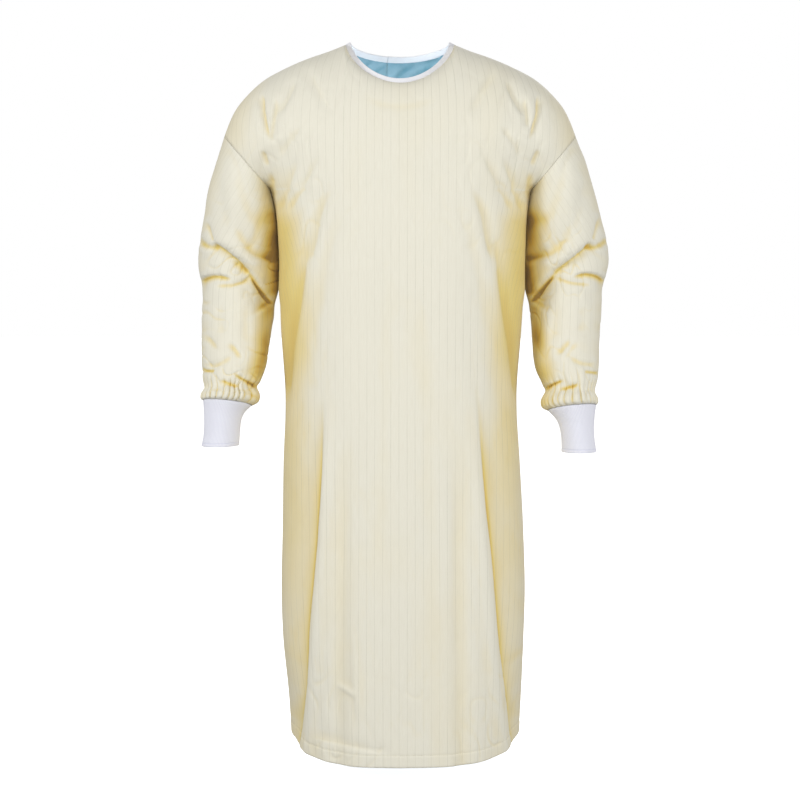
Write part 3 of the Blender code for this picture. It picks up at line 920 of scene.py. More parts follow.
@dataclass(frozen=True)
class Sewing:
    """A row of lockstitches.

    Attributes:
        pitch: from one stitch to the next, in metres.
        length: of a stitch.
        radius: of the thread.
    """

    pitch: float = 0.0030
    length: float = 0.0023
    radius: float = 0.00024

    def row(self, path: Array, outward: Array) -> Pair:
        """Stitches along a line on the cloth.

        Each stitch is a thin tube of four rings with five sides. Its ends dip into the cloth.

        Args:
            path: points along the line.
            outward: unit vectors out of the cloth at them.

        Returns:
            Points, and faces as numbers of them.
        """
        keys = lengths(path)
        starts = np.arange(self.pitch, keys[-1] - 2 * self.pitch, self.pitch)
        shares = np.array((0.0, 0.25, 0.75, 1.0))
        lifts = np.array((-0.7, 0.55, 0.55, -0.7)) * self.radius
        widths = np.array((0.45, 1.0, 1.0, 0.45)) * self.radius
        at = starts[:, None] + shares * self.length
        centre = read_at(at, keys, path)
        out = unit(read_at(at, keys, outward))
        along = unit(centre[:, -1:] - centre[:, :1])
        aside = unit(np.cross(along, out))
        turns = np.linspace(0, 2 * math.pi, 5, endpoint=False)
        spokes = np.cos(turns)[:, None] * aside[:, :, None] + np.sin(turns)[:, None] * out[:, :, None]
        points = (centre + out * lifts[:, None])[:, :, None] + spokes * widths[:, None, None]
        faces, _ = grid_faces(4, 5, ring=True)
        numbers = np.arange(len(starts))[:, None, None] * 20 + faces[:, ::-1]
        return points.reshape(-1, 3), numbers.reshape(-1, 4)

    def piece(
        self, name: str, lines: list[Pair], material: Material
    ) -> Piece:
        """One piece of several rows of stitches.

        Args:
            name: the piece's name.
            lines: each row's points and the ways out of the cloth there.
            material: the thread's.

        Returns:
            The object.
        """
        points, faces, count = [], [], 0
        for path, outward in lines:
            made, numbers = self.row(path, outward)
            points.append(made)
            faces.append(numbers + count)
            count += len(made)
        piece = add_piece(name, np.concatenate(points), np.concatenate(faces).tolist(), (material,))
        place_piece(piece, "striped_cloth")
        return piece


def tubes(*rows: tuple[float, ...]) -> dict[Side, Table]:
    """Tables of the tubes on both sides: shared numbers come first, then each side's four edges."""
    shared, edges = "key depth centre lift ", "outer outer_down inner inner_down"
    return {
        side: table(shared + edges, *(row[:4] + row[start:start + 4] for row in rows))
        for side, start in ((Side.LEFT, 4), (Side.RIGHT, 8))
    }


@dataclass(frozen=True)
class GownForm:
    """The form of the solids, as tables and the formulas between their rows, in metres."""

    neck_half_width: float = 0.0895
    neck_edge_down: float = 0.004
    neck_reach: float = 0.42
    rise_power: float = 2.05
    spread_power: float = 1.7
    arm_pull: float = 1.8
    section_power: float = 2.6
    front_hem: float = 1.172
    side_hem: float = 1.143
    hem_power: float = 4.5
    inner_back_edge: float = -0.105
    outer_back_edge: float = 0.315
    layer_step: float = 0.0032
    cloth: float = 0.0008
    necks: dict = field(default_factory=lambda: {
        Face.FRONT: (0.0686, 0.078, 0.7, 0.6),
        Face.BACK: (0.0217, 0.058, 0.6, 0.55),
    })
    body: Table = field(default_factory=lambda: table(
        "down left right front back",
        (0.2415, 0.2133, 0.2158, 0.128, 0.12),
        (0.271, 0.2045, 0.2095, 0.13, 0.119),
        (0.329, 0.199, 0.2055, 0.133, 0.117),
        (0.395, 0.1985, 0.2045, 0.135, 0.115),
        (0.47, 0.1965, 0.2005, 0.135, 0.116),
        (0.589, 0.1895, 0.193, 0.138, 0.122),
        (0.689, 0.193, 0.1985, 0.141, 0.128),
        (0.807, 0.195, 0.205, 0.145, 0.133),
        (0.901, 0.197, 0.2078, 0.149, 0.136),
        (0.986, 0.1942, 0.2055, 0.151, 0.138),
        (1.064, 0.1865, 0.2025, 0.153, 0.139),
        (1.172, 0.179, 0.197, 0.155, 0.14),
    ))
    shoulder: Table = field(default_factory=lambda: table(
        "out down",
        (0.0895, 0.004),
        (0.115, 0.0142),
        (0.145, 0.0245),
        (0.188, 0.0425),
        (0.225, 0.063),
        (0.25, 0.0855),
        (0.27, 0.11),
        (0.2818, 0.134),
        (0.2895, 0.1544),
    ))
    sleeves: dict = field(default_factory=lambda: tubes(
        (0, 0.07, 0, 0, 0.2895, 0.1544, 0.2133, 0.2407, 0.2895, 0.1544, 0.2158, 0.2424),
        (1, 0.072, 0, 0, 0.3054, 0.2042, 0.2083, 0.2706, 0.3071, 0.1999, 0.2133, 0.2706),
        (2, 0.072, 0.003, 0, 0.3174, 0.2439, 0.2052, 0.2987, 0.3203, 0.2406, 0.211, 0.2987),
        (3, 0.07, 0.008, 0, 0.3261, 0.2903, 0.2029, 0.3285, 0.3335, 0.2869, 0.2097, 0.3285),
        (4, 0.067, 0.012, 0, 0.3339, 0.3351, 0.2007, 0.3601, 0.3439, 0.3351, 0.2082, 0.3601),
        (5, 0.064, 0.014, 0.001, 0.335, 0.3651, 0.2017, 0.3901, 0.3449, 0.3651, 0.2086, 0.3934),
        (6, 0.06, 0.01, 0.002, 0.3294, 0.405, 0.2081, 0.43, 0.3362, 0.405, 0.2139, 0.4284),
        (7, 0.058, 0.002, 0.003, 0.3284, 0.4416, 0.2108, 0.4565, 0.3342, 0.4416, 0.2161, 0.4565),
        (8, 0.056, -0.01, 0.004, 0.3274, 0.4829, 0.2149, 0.4927, 0.3296, 0.4829, 0.2185, 0.4939),
        (9, 0.053, -0.023, 0.005, 0.3262, 0.5238, 0.2205, 0.5287, 0.327, 0.5238, 0.2222, 0.5321),
        (10, 0.048, -0.032, 0.006, 0.324, 0.553, 0.2313, 0.5564, 0.3238, 0.5547, 0.2346, 0.5613),
        (10.4, 0.044, -0.037, 0.006, 0.3205, 0.5683, 0.2365, 0.5673, 0.3196, 0.5742, 0.2395, 0.5742),
        (10.65, 0.048, -0.041, 0.007, 0.325, 0.5775, 0.2314, 0.5799, 0.3235, 0.5839, 0.2332, 0.5888),
        (10.82, 0.047, -0.043, 0.007, 0.3255, 0.5833, 0.2336, 0.5887, 0.324, 0.5902, 0.2346, 0.5976),
        (11, 0.04, -0.044, 0.007, 0.323, 0.5867, 0.243, 0.5951, 0.322, 0.5946, 0.242, 0.603),
    ))
    cuffs: dict = field(default_factory=lambda: tubes(
        (0, 0.04, -0.044, 0.007, 0.323, 0.5867, 0.243, 0.5951, 0.322, 0.5946, 0.242, 0.603),
        (1, 0.036, -0.045, 0.005, 0.3221, 0.5985, 0.2538, 0.6059, 0.3198, 0.6084, 0.2538, 0.6153),
        (2, 0.033, -0.046, 0.003, 0.3215, 0.6132, 0.2591, 0.6162, 0.3187, 0.6231, 0.2599, 0.6261),
        (3, 0.032, -0.047, 0.001, 0.3214, 0.6295, 0.2616, 0.63, 0.3184, 0.6388, 0.2633, 0.6398),
        (4, 0.0315, -0.048, 0, 0.3223, 0.6447, 0.2627, 0.6457, 0.3194, 0.6526, 0.2648, 0.6546),
        (5, 0.032, -0.049, -0.001, 0.3255, 0.6612, 0.2637, 0.6601, 0.3221, 0.6708, 0.2649, 0.6708),
    ))

    def section(self, reach: Array) -> Array:
        """Depth share of a body section: (1 - |reach|^n)^(1/n)."""
        return (1 - np.abs(reach) ** self.section_power) ** (1 / self.section_power)

    def ring(self, side: Side, sizes: Table, rows: Array, turns: Array) -> Array:
        """Rings of a sleeve or cuff: an ellipse from the outer to the inner edge, pushed forward.

        Args:
            side: which sleeve or cuff.
            sizes: its table.
            rows: row places in it.
            turns: angles round it, 0 outermost and a quarter turn in front.

        Returns:
            Rows by turns of points.
        """
        size = {name: smooth(sizes["key"], column, rows) for name, column in sizes.items()}
        zero = np.zeros_like(rows, dtype=float)
        outer = np.stack((size["outer"], zero, -size["outer_down"]), axis=-1)[:, None]
        inner = np.stack((size["inner"], zero, -size["inner_down"]), axis=-1)[:, None]
        middle = (outer + inner) / 2
        middle[..., 1] += size["centre"][:, None]
        forward = np.stack((zero, -size["depth"], size["lift"]), axis=-1)[:, None]
        rings = middle + np.cos(turns)[:, None] * (outer - inner) / 2 + np.sin(turns)[:, None] * forward
        return rings * (side.value, 1.0, 1.0)

    def armhole(self, side: Side, turns: Array) -> Pair:
        """Armhole ring and the ways into the cloth there.

        Args:
            side: which armhole.
            turns: angles round it, 0 at the shoulder and a quarter turn in front.

        Returns:
            Points, and unit vectors into the gown that turn upwards under the arm.
        """
        sizes = self.sleeves[side]
        points = self.ring(side, sizes, np.zeros(1), turns)[0]
        first = {name: column[0] for name, column in sizes.items()}
        span = np.array((first["outer"] - first["inner"], first["inner_down"] - first["outer_down"]))
        half = np.hypot(*span) / 2
        across = np.array((span[0] * side.value, 0.0, span[1])) / (2 * half)
        radial = -unit(np.cos(turns)[:, None] * across / half
                       + np.sin(turns)[:, None] * np.array((0.0, -1.0, 0.0)) / first["depth"])
        under = 1 - ease(np.abs(turns % (2 * math.pi) - math.pi), 0.15 * math.pi, 0.55 * math.pi)[:, None]
        return points, unit(radial * (1 - under) + UP * under)

    def neck_edge(self, reach: Array, face: Face) -> Array:
        """Neckline points: drop and run are powers of 1 - (reach / neck reach)^2.

        Args:
            reach: shares of the body's half width.
            face: front or back.

        Returns:
            A point for each.
        """
        drop, run, drop_power, run_power = self.necks[face]
        hollow = np.clip(1 - (reach / self.neck_reach) ** 2, 0.0, 1.0)
        x = self.neck_half_width * reach / self.neck_reach
        down = self.neck_edge_down + drop * hollow ** drop_power
        return np.stack((x, face.value * run * hollow ** run_power, -down), axis=-1)

    def side_swell(self, side: Side, down: Array) -> Array:
        """How far sleeve and body swell towards each other below the underarm, where they touch.

        Each takes half of the gap between the solids there, but for a hair.

        Args:
            side: which side of the gown.
            down: levels below the neck points.

        Returns:
            Swells in metres, in the form of down.
        """
        sizes = self.sleeves[side]
        rows = np.linspace(0, 7, 120)
        level = smooth(sizes["key"], sizes["inner_down"], rows)
        half = smooth(self.body["down"], self.body[side.word], level)
        gap = np.maximum(smooth(sizes["key"], sizes["inner"], rows) - half - 0.0004, 0.0)
        gap *= ease(level, 0.2430, 0.2560) * (1 - ease(level, 0.3950, 0.4320))
        return np.interp(down, level, gap / 2)

    def reaches(self, neck: int, sides: int) -> Array:
        """Columns from side seam to side seam, evenly spaced along the body's section.

        Args:
            neck: columns inside the neck.
            sides: columns on each side of it.

        Returns:
            Shares of the half width, -1 to 1.
        """
        fine = np.linspace(0, math.pi / 2, 600)
        along = np.sin(fine) ** (2 / self.section_power)
        across = np.cos(fine) ** (2 / self.section_power)
        keep = along >= self.neck_reach
        along = np.concatenate(((self.neck_reach,), along[keep]))
        across = np.concatenate(((float(self.section(np.array(self.neck_reach))),), across[keep]))
        wide, deep = self.body["left"].mean(), self.body["front"].mean()
        length = lengths(np.stack((along * wide, across * deep), axis=-1))
        side = np.interp(np.linspace(0, length[-1], sides + 1), length, along)[1:]
        return np.concatenate((-side[::-1], np.linspace(-self.neck_reach, self.neck_reach, neck + 1), side))

    def body_grid(self, face: Face, reach: Array, shares: Array, turns: Array, levels: Array) -> Array:
        """Outside of the front or the whole back, shoulder to hem, without its folds.

        Above the underarm a row is a share of the way from the armhole's foot to the shoulder, and
        its depth goes from the body's section to the shoulder on a rounded power. Below it a row
        is the section at its level.

        Args:
            face: front or back.
            reach: the columns.
            shares: how far each column's top stands along the shoulder seam, 0 inside the neck.
            turns: rows above the underarm, 0 at the shoulder and pi at the underarm.
            levels: rows below it, 0 at the underarm and 1 at the hem.

        Returns:
            Rows by columns of points.
        """
        rise = ((1 + np.cos(turns)) / 2)[:, None]
        inside = np.abs(reach) <= self.neck_reach + 1e-9
        neck = self.neck_edge(reach, face)
        keys = lengths(np.stack((self.shoulder["out"], self.shoulder["down"]), axis=-1))
        keys /= keys[-1]
        seam_x = np.sign(reach) * smooth(keys, self.shoulder["out"], shares)
        seam_down = smooth(keys, self.shoulder["down"], shares)
        top_x = np.where(inside, neck[:, 0], seam_x)
        top_down = np.where(inside, -neck[:, 2], seam_down)
        top_run = np.where(inside, neck[:, 1] * face.value, 0.0)

        left, right = self.sleeves[Side.LEFT], self.sleeves[Side.RIGHT]
        arm_down = np.interp(reach, (-1, 1), (left["inner_down"][0], right["inner_down"][0]))
        arm_x = reach * np.where(reach < 0, self.body["left"][0], self.body["right"][0])
        depth = self.body[face.word]
        across = self.section(reach)
        carry = (1 - rise ** self.rise_power) ** (1 / self.rise_power)
        ring_depth = left["depth"][0] * np.sin(turns)[:, None]
        spread = rise ** (1 + (self.spread_power - 1) * (1 - np.abs(reach) ** 4))
        pull = (1 - across) ** (1 + self.arm_pull * (1 - ease(rise, 0.0, 0.45)))
        upper_x = arm_x * (1 - spread) + top_x * spread
        upper_down = arm_down * (1 - rise) + top_down * rise
        upper_run = depth[0] * across * carry + pull * ring_depth + top_run * (1 - carry)

        hem = np.full_like(reach, self.side_hem)
        if face is Face.FRONT:
            hem = self.front_hem + (self.side_hem - self.front_hem) * np.abs(reach) ** self.hem_power
        lower_down = arm_down + (hem - arm_down) * levels[:, None]
        half = np.where(
            reach < 0,
            smooth(self.body["down"], self.body["left"], lower_down),
            smooth(self.body["down"], self.body["right"], lower_down),
        )
        lower_run = across * smooth(self.body["down"], depth, lower_down)
        x = np.concatenate((upper_x, reach * half))
        down = np.concatenate((upper_down, lower_down))
        run = np.concatenate((upper_run, lower_run))
        return np.stack((x, face.value * run, -down), axis=-1)


FRONT_LEFT_FOLDS = folds(
    ((323.5, 385, 321.5, 422, 319.5, 457, 317.5, 490, 315.5, 517, 313.5, 544, 308.5, 595,
      304.5, 638, 303.5, 665, 301.5, 693, 298, 721, 294, 768), 12, 13, 2.6, 0.5, (0.3, 0.14), ROUND, 0.4),
    ((330, 400, 326, 470, 322, 540, 316, 610, 311, 690, 306, 752), -3.4, 4.5, 7, -0.05, (0.3, 0)),
    ((308, 222, 304, 262, 300, 290, 295.5, 320, 292, 341, 289, 372, 286.5, 404),
     5.5, 8, 3, 0.2, (0.35, 0.12)),
    ((263.8, 94, 263.8, 110, 266, 122.5, 270.5, 142), 7, 5.5, 1.6, 0.5, (0.2, 0.3), ROUND, 0.32),
    ((276.8, 94, 275, 110, 271.4, 131, 270.5, 146), 5.2, 1.7, 5, 0.1, (0.3, 0.3), ROUND, 0.4),
    ((262.5, 151, 266, 158, 269, 168), 3.4, 3.4, 1.6, 0.3),
    ((298, 79, 285, 105, 276, 118), 4.8, 6, 2.6),
    ((303, 125, 286, 150, 281, 162), 4.6, 6, 2.6),
    ((321, 150, 304, 183, 287, 215), 5.2, 8, 3.2, 0.03, (0.35, 0.2)),
    ((300, 156, 288, 185, 279, 215), 4.6, 6, 3, 0.06, (0.35, 0.2)),
    ((306, 68, 320, 92, 335, 118), 4.2, 7, 3.6),
    ((333, 182, 319, 214, 313.8, 239, 306, 268), 5.4, 8, 4, 0.1, (0.35, 0.25)),
    ((345, 196, 330, 240, 320, 290, 314, 350), 2, 8, 7, 0.05, (0.35, 0.35)),
    ((346, 420, 341, 540, 339, 650, 337, 772), 5, 9, 9, 0, (0.35, 0)),
)
FRONT_RIGHT_FOLDS = folds(
    ((475, 380, 480.5, 417, 484, 449, 487, 478.6, 490.5, 517.4, 494, 544, 499, 595,
      502, 630, 506.5, 665, 511.5, 700, 517, 768), 11.5, 2.6, 13, 0.5, (0.3, 0.14), ROUND, 0.4),
    ((470, 405, 476, 470, 483, 540, 490, 610, 498, 690, 506, 750), -3.2, 7, 4.5, -0.05, (0.3, 0)),
    ((496, 222, 499, 262, 502, 290, 506.5, 320, 510, 341, 514, 372, 517.5, 404),
     5.5, 3, 8, 0.2, (0.35, 0.12)),
    ((536.4, 96, 536.9, 112, 533, 127, 528.5, 141), 6.6, 1.6, 5.5, 0.5, (0.2, 0.3), ROUND, 0.32),
    ((523.5, 95, 527, 112, 528.5, 132), 5, 5, 1.7, 0.1, (0.3, 0.3), ROUND, 0.4),
    ((538, 150, 534, 158, 531, 168), 3.4, 1.6, 3.4, 0.3),
    ((458, 430, 460, 540, 461, 650, 463, 772), 5, 9, 9, 0, (0.35, 0)),
) + mirrored(FRONT_LEFT_FOLDS[6:13], 2, (1.1, 0.85, 0.95, 1.15, 1))
FRONT_MIDDLE_FOLDS = folds(
    ((334.5, 688, 346, 693, 357.5, 700), -2.6, 2.2, 3.2, 0, (0.25, 0.25)),
    ((371, 669, 380, 672, 390, 677), -2, 2.2, 3, 0, (0.25, 0.25)),
    ((353.5, 636, 354.5, 655, 357, 700, 360, 735), -2.6, 4, 2, 0, (0.25, 0.35)),
    ((312, 738, 335, 745, 366, 752, 396, 757), 2.2, 3, 5, 0, (0.15, 0.3)),
    ((383, 190, 386, 330, 381, 480, 376, 640), 1.5, 11, 11, 0.03),
    ((419, 230, 424, 390, 432, 560, 437, 760), 1.6, 13, 12, 0.03, (0.3, 0)),
    ((404, 560, 402, 660, 399, 768), -1.5, 9, 9, 0, (0.35, 0)),
    ((360, 96, 376, 104, 400, 108, 424, 104, 440, 96), 0.9, 5, 4, 0.06),
)
# Mostly painted golden shade: bands under the arms, along the side folds and down the sides; a few also
# press in a little.
FRONT_PAINTED_SHADE = folds(
    ((274, 196, 280, 250, 286, 300, 289, 350, 287, 420), 0, 12, 17, 1.1, (0.16, 0.4), ROUND, 1),
    ((528, 196, 522, 250, 516, 300, 513, 350, 515, 420), 0, 17, 12, 1, (0.16, 0.4), ROUND, 1),
    ((322, 422, 318, 490, 314, 544, 309, 595, 305, 638, 302, 693, 296, 750),
     0.8, 1.8, 1.6, 1.3, (0.35, 0.08), ROUND, 1),
    ((480, 417, 486.5, 478, 493.5, 544, 498.5, 595, 506, 665, 511, 700, 515, 750),
     0.8, 1.6, 1.8, 1.3, (0.35, 0.08), ROUND, 1),
    ((346, 400, 342, 560, 340, 772), 0, 12, 18, 0.07, (0.3, 0), ROUND, 1),
    ((459, 400, 461, 560, 464, 772), 0, 18, 12, 0.07, (0.3, 0), ROUND, 1),
    ((286, 370, 290, 470, 293, 590, 297, 745), 0, 14, 22, 0.42, (0.15, 0.7), ROUND, 1),
    ((517, 370, 512, 470, 510, 590, 510, 745), 0, 22, 14, 0.34, (0.15, 0.7), ROUND, 1),
    ((270.5, 172, 272, 187, 272.5, 205), 3.5, 3.5, 3.5, 0.4),
    ((530.5, 172, 529.5, 187, 529, 205), 3.5, 3.5, 3.5, 0.4),
)
BACK_FOLDS = folds(
    ((331, 303, 326, 420, 321, 560, 313, 776), 8.5, 20, 7, 0.4, (0.3, 0)),
    ((474.6, 326, 480, 440, 485, 580, 492, 776), 8, 7, 20, 0.4, (0.3, 0)),
    ((359, 460, 358, 600, 354.5, 776), 4.5, 11, 11, 0.1, (0.3, 0)),
    ((418, 420, 421, 560, 425, 776), 3, 12, 12, 0.05, (0.35, 0)),
    ((309.6, 204, 303, 290, 297, 380), 5, 15, 8, 0.45),
    ((493, 204, 499, 290, 505, 367), 5, 8, 15, 0.45),
    ((266, 92, 266, 115, 271, 142), 3.8, 3.2, 3.6, 0.35, (0.25, 0.3), PINCHED),
    ((532, 94, 533, 118, 528, 140), 4.2, 3.6, 3.2, 0.35, (0.25, 0.3), PINCHED),
    ((326, 120, 306, 160, 288, 205), 2.6, 6, 5, 0.12, (0.35, 0.2), PINCHED),
    ((344, 168, 322, 214, 309, 262), 2.4, 6.5, 6, 0.12, (0.35, 0.3)),
    ((470, 112, 492, 155, 512, 204), 2.7, 5, 6, 0.12, (0.35, 0.2), PINCHED),
    ((452, 176, 474, 218, 487, 268), 2.2, 6, 6.5, 0.12, (0.35, 0.3)),
    ((300, 84, 286, 108, 277, 119), 1.8, 4.5, 4.5, 0.05),
    ((502, 86, 515, 109, 524, 121), 1.7, 4.5, 4.5, 0.05),
    ((352, 250, 349, 340, 345, 430), 1.8, 9, 9, 0.03),
    ((449, 236, 453, 330, 459, 420), 1.9, 9, 9, 0.03),
    ((270.5, 172, 272, 187, 272.5, 205), 3.5, 3.5, 3.5, 0.6),
    ((530.5, 172, 529.5, 187, 529, 205), 3.5, 3.5, 3.5, 0.6),
    # Painted shade only, under the arms; these press in nothing.
    ((275, 200, 281, 260, 285, 330, 287, 420), 0, 12, 11, 0.5, (0.15, 0.3)),
    ((527, 200, 521, 260, 517, 330, 515, 420), 0, 11, 12, 0.5, (0.15, 0.3)),
    ((356, 92, 378, 97, 400, 95), 1.3, 3.5, 4, 0.1),
    ((357, 73, 364, 66, 374, 60), 4.4, 3, 1.8, 0.3, (0.2, 0.3)),
    ((370, 79, 379, 70, 388, 65), 3.8, 3, 1.8, 0.26, (0.2, 0.3)),
    ((392, 82, 401, 73, 416, 62), 4.6, 3.2, 1.8, 0.32, (0.2, 0.3)),
    ((409, 82, 419, 73, 433, 65), 4.2, 3.2, 1.8, 0.28, (0.2, 0.3)),
    ((424, 80, 434, 71, 443, 62), 3.8, 3, 1.8, 0.26, (0.2, 0.3)),
    ((393, 66, 398, 62, 405, 60), 2.6, 2.4, 1.6, 0.2, (0.2, 0.3)),
)
LEFT_SLEEVE_FRONT = folds(
    ((206, 220, 208.5, 228, 213, 242), 3.4, 3, 2.6, 0.05, (0.4, 0.1), PINCHED),
    ((198, 241, 207, 246.5, 219, 247.5), 4.2, 3, 4.5, 0.2, (0.05, 0.2)),
    ((212, 243, 229.5, 255, 250.5, 273.5, 257, 282, 265, 293.5, 273, 306),
     8.5, 15, 2.4, 0.3, (0.08, 0.06), ROUND, 0.4),
    ((214, 235, 232, 246, 253, 264, 262, 273, 271, 286), -3.4, 4, 9, 0, (0.2, 0.2)),
    ((252, 276, 258, 284, 265.5, 294, 272, 304), 3, 1.8, 1.5, 0.45, (0.3, 0.2)),
    ((231, 261, 242, 268.5, 252, 273), 2.6, 4, 2.4, 0.1, (0.3, 0.2)),
    ((234, 222, 245, 243, 255, 253.5, 266, 257.5, 279, 260), 5, 4.5, 8, 0.22, (0.5, 0.05), ROUND, 0.5),
    ((199, 283, 203, 279.5, 210, 277, 235, 279.5), 6.5, 9, 2, 0.5, (0, 0.35), ROUND, 0.35),
    ((212, 286, 234.7, 284.5, 254, 278.5), 3, 3.6, 2.4, 0.2, (0.3, 0.2), PINCHED),
    ((203, 333, 211, 341, 218, 352), 2.8, 3.5, 3, 0, (0.4, 0.4)),
    ((227, 341, 235, 349, 242, 361), 4.2, 4.2, 3, 0.08, (0.4, 0.4)),
    ((203, 366, 222, 362, 236, 352), 3.2, 4, 3, 0.03, (0.2, 0.4)),
    ((232, 372, 246, 381, 262, 389), 4.2, 2.8, 2.4, 0.55, (0.3, 0.1), PINCHED),
    ((218, 380, 230, 383.5, 241, 386.5), 3.6, 2.4, 2.4, 0.5, (0.3, 0.3), PINCHED),
    ((201, 369, 207, 370.5, 216, 370), 3.6, 2.4, 2.4, 0.45, (0.05, 0.3), PINCHED),
    ((236, 168, 245, 200, 262, 234), 2.2, 6.5, 6.5, 0.06),
    ((243, 150, 252, 159, 262, 172), 2.2, 3, 3, 0.12, (0.2, 0.3), PINCHED),
    ((229, 147, 238, 168, 243, 186), 1.6, 4, 4, 0, (0.15, 0.4)),
    ((220, 175, 222, 205, 230, 232), 1.8, 6, 6),
    ((263, 205, 258, 232, 244, 262), 1.8, 5, 5, 0.12),
    ((222, 300, 220, 320, 224, 338), 1.8, 5, 5),
    ((247, 300, 246, 325, 248, 350), 1.8, 5, 5, 0.05),
)
# Painted golden shade on the sleeve's inner side, where it turns to the body, and below its folds; these
# press in nothing.
LEFT_SLEEVE_PAINTED_SHADE = folds(
    ((274, 202, 278, 250, 275, 300), 0, 14, 13, 0.85, (0.2, 0.1), ROUND, 1),
    ((268, 300, 263, 350, 252, 388), 0, 9, 10, 0.5, (0.1, 0.2), ROUND, 1),
    ((236, 262, 252, 268, 268, 284), 0, 4, 4, 0.2, (0.3, 0.3), ROUND, 1),
    ((201, 243, 208, 249, 217, 247), 0, 4, 3, 0.2, (0.1, 0.3), ROUND, 1),
)
RIGHT_SLEEVE_FRONT = folds(
    ((599.5, 215, 597, 226, 593, 241), 3.4, 2.6, 3, 0.05, (0.4, 0.1), PINCHED),
    ((583, 246, 597, 247, 607, 241), 4.2, 3, 4.5, 0.2, (0.2, 0.05)),
    ((530, 304, 542, 285.5, 550.3, 277, 555.3, 272, 566.6, 264, 580.3, 254, 594, 242),
     8.2, 15, 2.4, 0.3, (0.06, 0.08), ROUND, 0.4),
    ((533, 287, 541, 275, 551, 264, 566, 254, 590, 236), -3.2, 4, 9, 0, (0.2, 0.2)),
    ((531, 302, 538, 291, 546, 282, 554, 275), 3, 1.8, 1.5, 0.45, (0.2, 0.3)),
    ((550, 273, 560, 268, 571, 261), 2.4, 4, 2.4, 0.1, (0.2, 0.3)),
    ((525, 259, 540, 256, 551.4, 253, 562, 243, 573, 222), 4.8, 4.5, 8, 0.22, (0.05, 0.5), ROUND, 0.5),
    ((570, 278, 589.5, 274.5, 600, 277.5, 606, 283), 6.2, 9, 2, 0.5, (0.35, 0), ROUND, 0.35),
    ((552, 277, 571, 282.8, 595, 285), 3.2, 3.6, 2.4, 0.2, (0.2, 0.3), PINCHED),
    ((573, 337, 564, 347, 555, 358), 4, 4, 3, 0.06, (0.4, 0.4)),
    ((579, 340, 570, 350, 563, 360), 2.8, 3, 3.5, 0, (0.4, 0.4)),
    ((565, 352, 580, 362, 597, 365), 3.2, 4, 3, 0.03, (0.4, 0.2)),
    ((541, 391, 552, 385, 565, 379), 4.2, 2.8, 2.4, 0.55, (0.1, 0.3), PINCHED),
    ((558, 390, 569, 387, 581, 384), 3.6, 2.4, 2.4, 0.5, (0.3, 0.3), PINCHED),
    ((584, 371, 591, 372, 598, 373), 3.4, 2.4, 2.4, 0.45, (0.3, 0.05), PINCHED),
    ((566, 166, 556, 198, 541, 232), 2.3, 6.5, 6.5, 0.06),
    ((560, 150, 551, 160, 540, 171), 2, 3, 3, 0.12, (0.2, 0.3), PINCHED),
    ((573, 146, 564, 166, 560, 184), 1.7, 4, 4, 0, (0.15, 0.4)),
    ((584, 178, 581, 208, 573, 234), 1.7, 6, 6),
    ((540, 206, 546, 232, 560, 258), 1.9, 5, 5, 0.12),
    ((581, 302, 583, 320, 579, 336), 1.8, 5, 5),
    ((556, 300, 555, 322, 552, 346), 2, 5, 5, 0.05),
)
RIGHT_SLEEVE_PAINTED_SHADE = mirrored(LEFT_SLEEVE_PAINTED_SHADE, 2, (1,))
LEFT_SLEEVE_BACK = folds(
    ((207, 254, 238, 263, 270, 270), 5.5, 7, 3, 0.45, (0.15, 0.15)),
    ((212, 246, 240, 252, 262, 262), -2.2, 4, 5),
    ((207, 288, 235, 291, 266, 285), 4.8, 5, 3, 0.35, (0.15, 0.2)),
    ((222, 325, 236, 334, 254, 346), 3.6, 4.5, 3, 0.2, (0.3, 0.3), PINCHED),
    ((204, 306, 226, 309, 248, 303), 2.6, 4, 3, 0.12, (0.2, 0.3), PINCHED),
    ((230, 230, 247, 240, 272, 246), 2.8, 4.5, 3.5, 0.25, (0.3, 0.1), PINCHED),
    ((208, 372, 228, 379, 250, 384), 3.4, 2.8, 2.4, 0.35, (0.2, 0.2), PINCHED),
    ((210, 350, 224, 357, 240, 358), 2.4, 3.2, 3, 0.1, (0.2, 0.3), PINCHED),
    ((238, 165, 248, 198, 264, 226), 2.2, 6.5, 6.5, 0.05),
    ((219, 178, 221, 205, 227, 232), 1.8, 6, 6),
    ((244, 150, 253, 160, 263, 172), 2, 3, 3, 0.12, (0.2, 0.3), PINCHED),
    # Painted shade only, on the sleeve's inner side; these press in nothing.
    ((271, 210, 275, 250, 272, 300), 0, 9, 8, 0.45, (0.2, 0.2)),
    ((268, 305, 263, 350, 252, 388), 0, 7.5, 8, 0.45, (0.1, 0.2)),
)
RIGHT_SLEEVE_BACK = mirrored(LEFT_SLEEVE_BACK, 3, (0.9, 1.1, 1.15, 0.85, 1))
SLEEVE_FOLDS = {
    Side.LEFT: (LEFT_SLEEVE_FRONT + LEFT_SLEEVE_PAINTED_SHADE, LEFT_SLEEVE_BACK),
    Side.RIGHT: (RIGHT_SLEEVE_FRONT + RIGHT_SLEEVE_PAINTED_SHADE, RIGHT_SLEEVE_BACK),
}


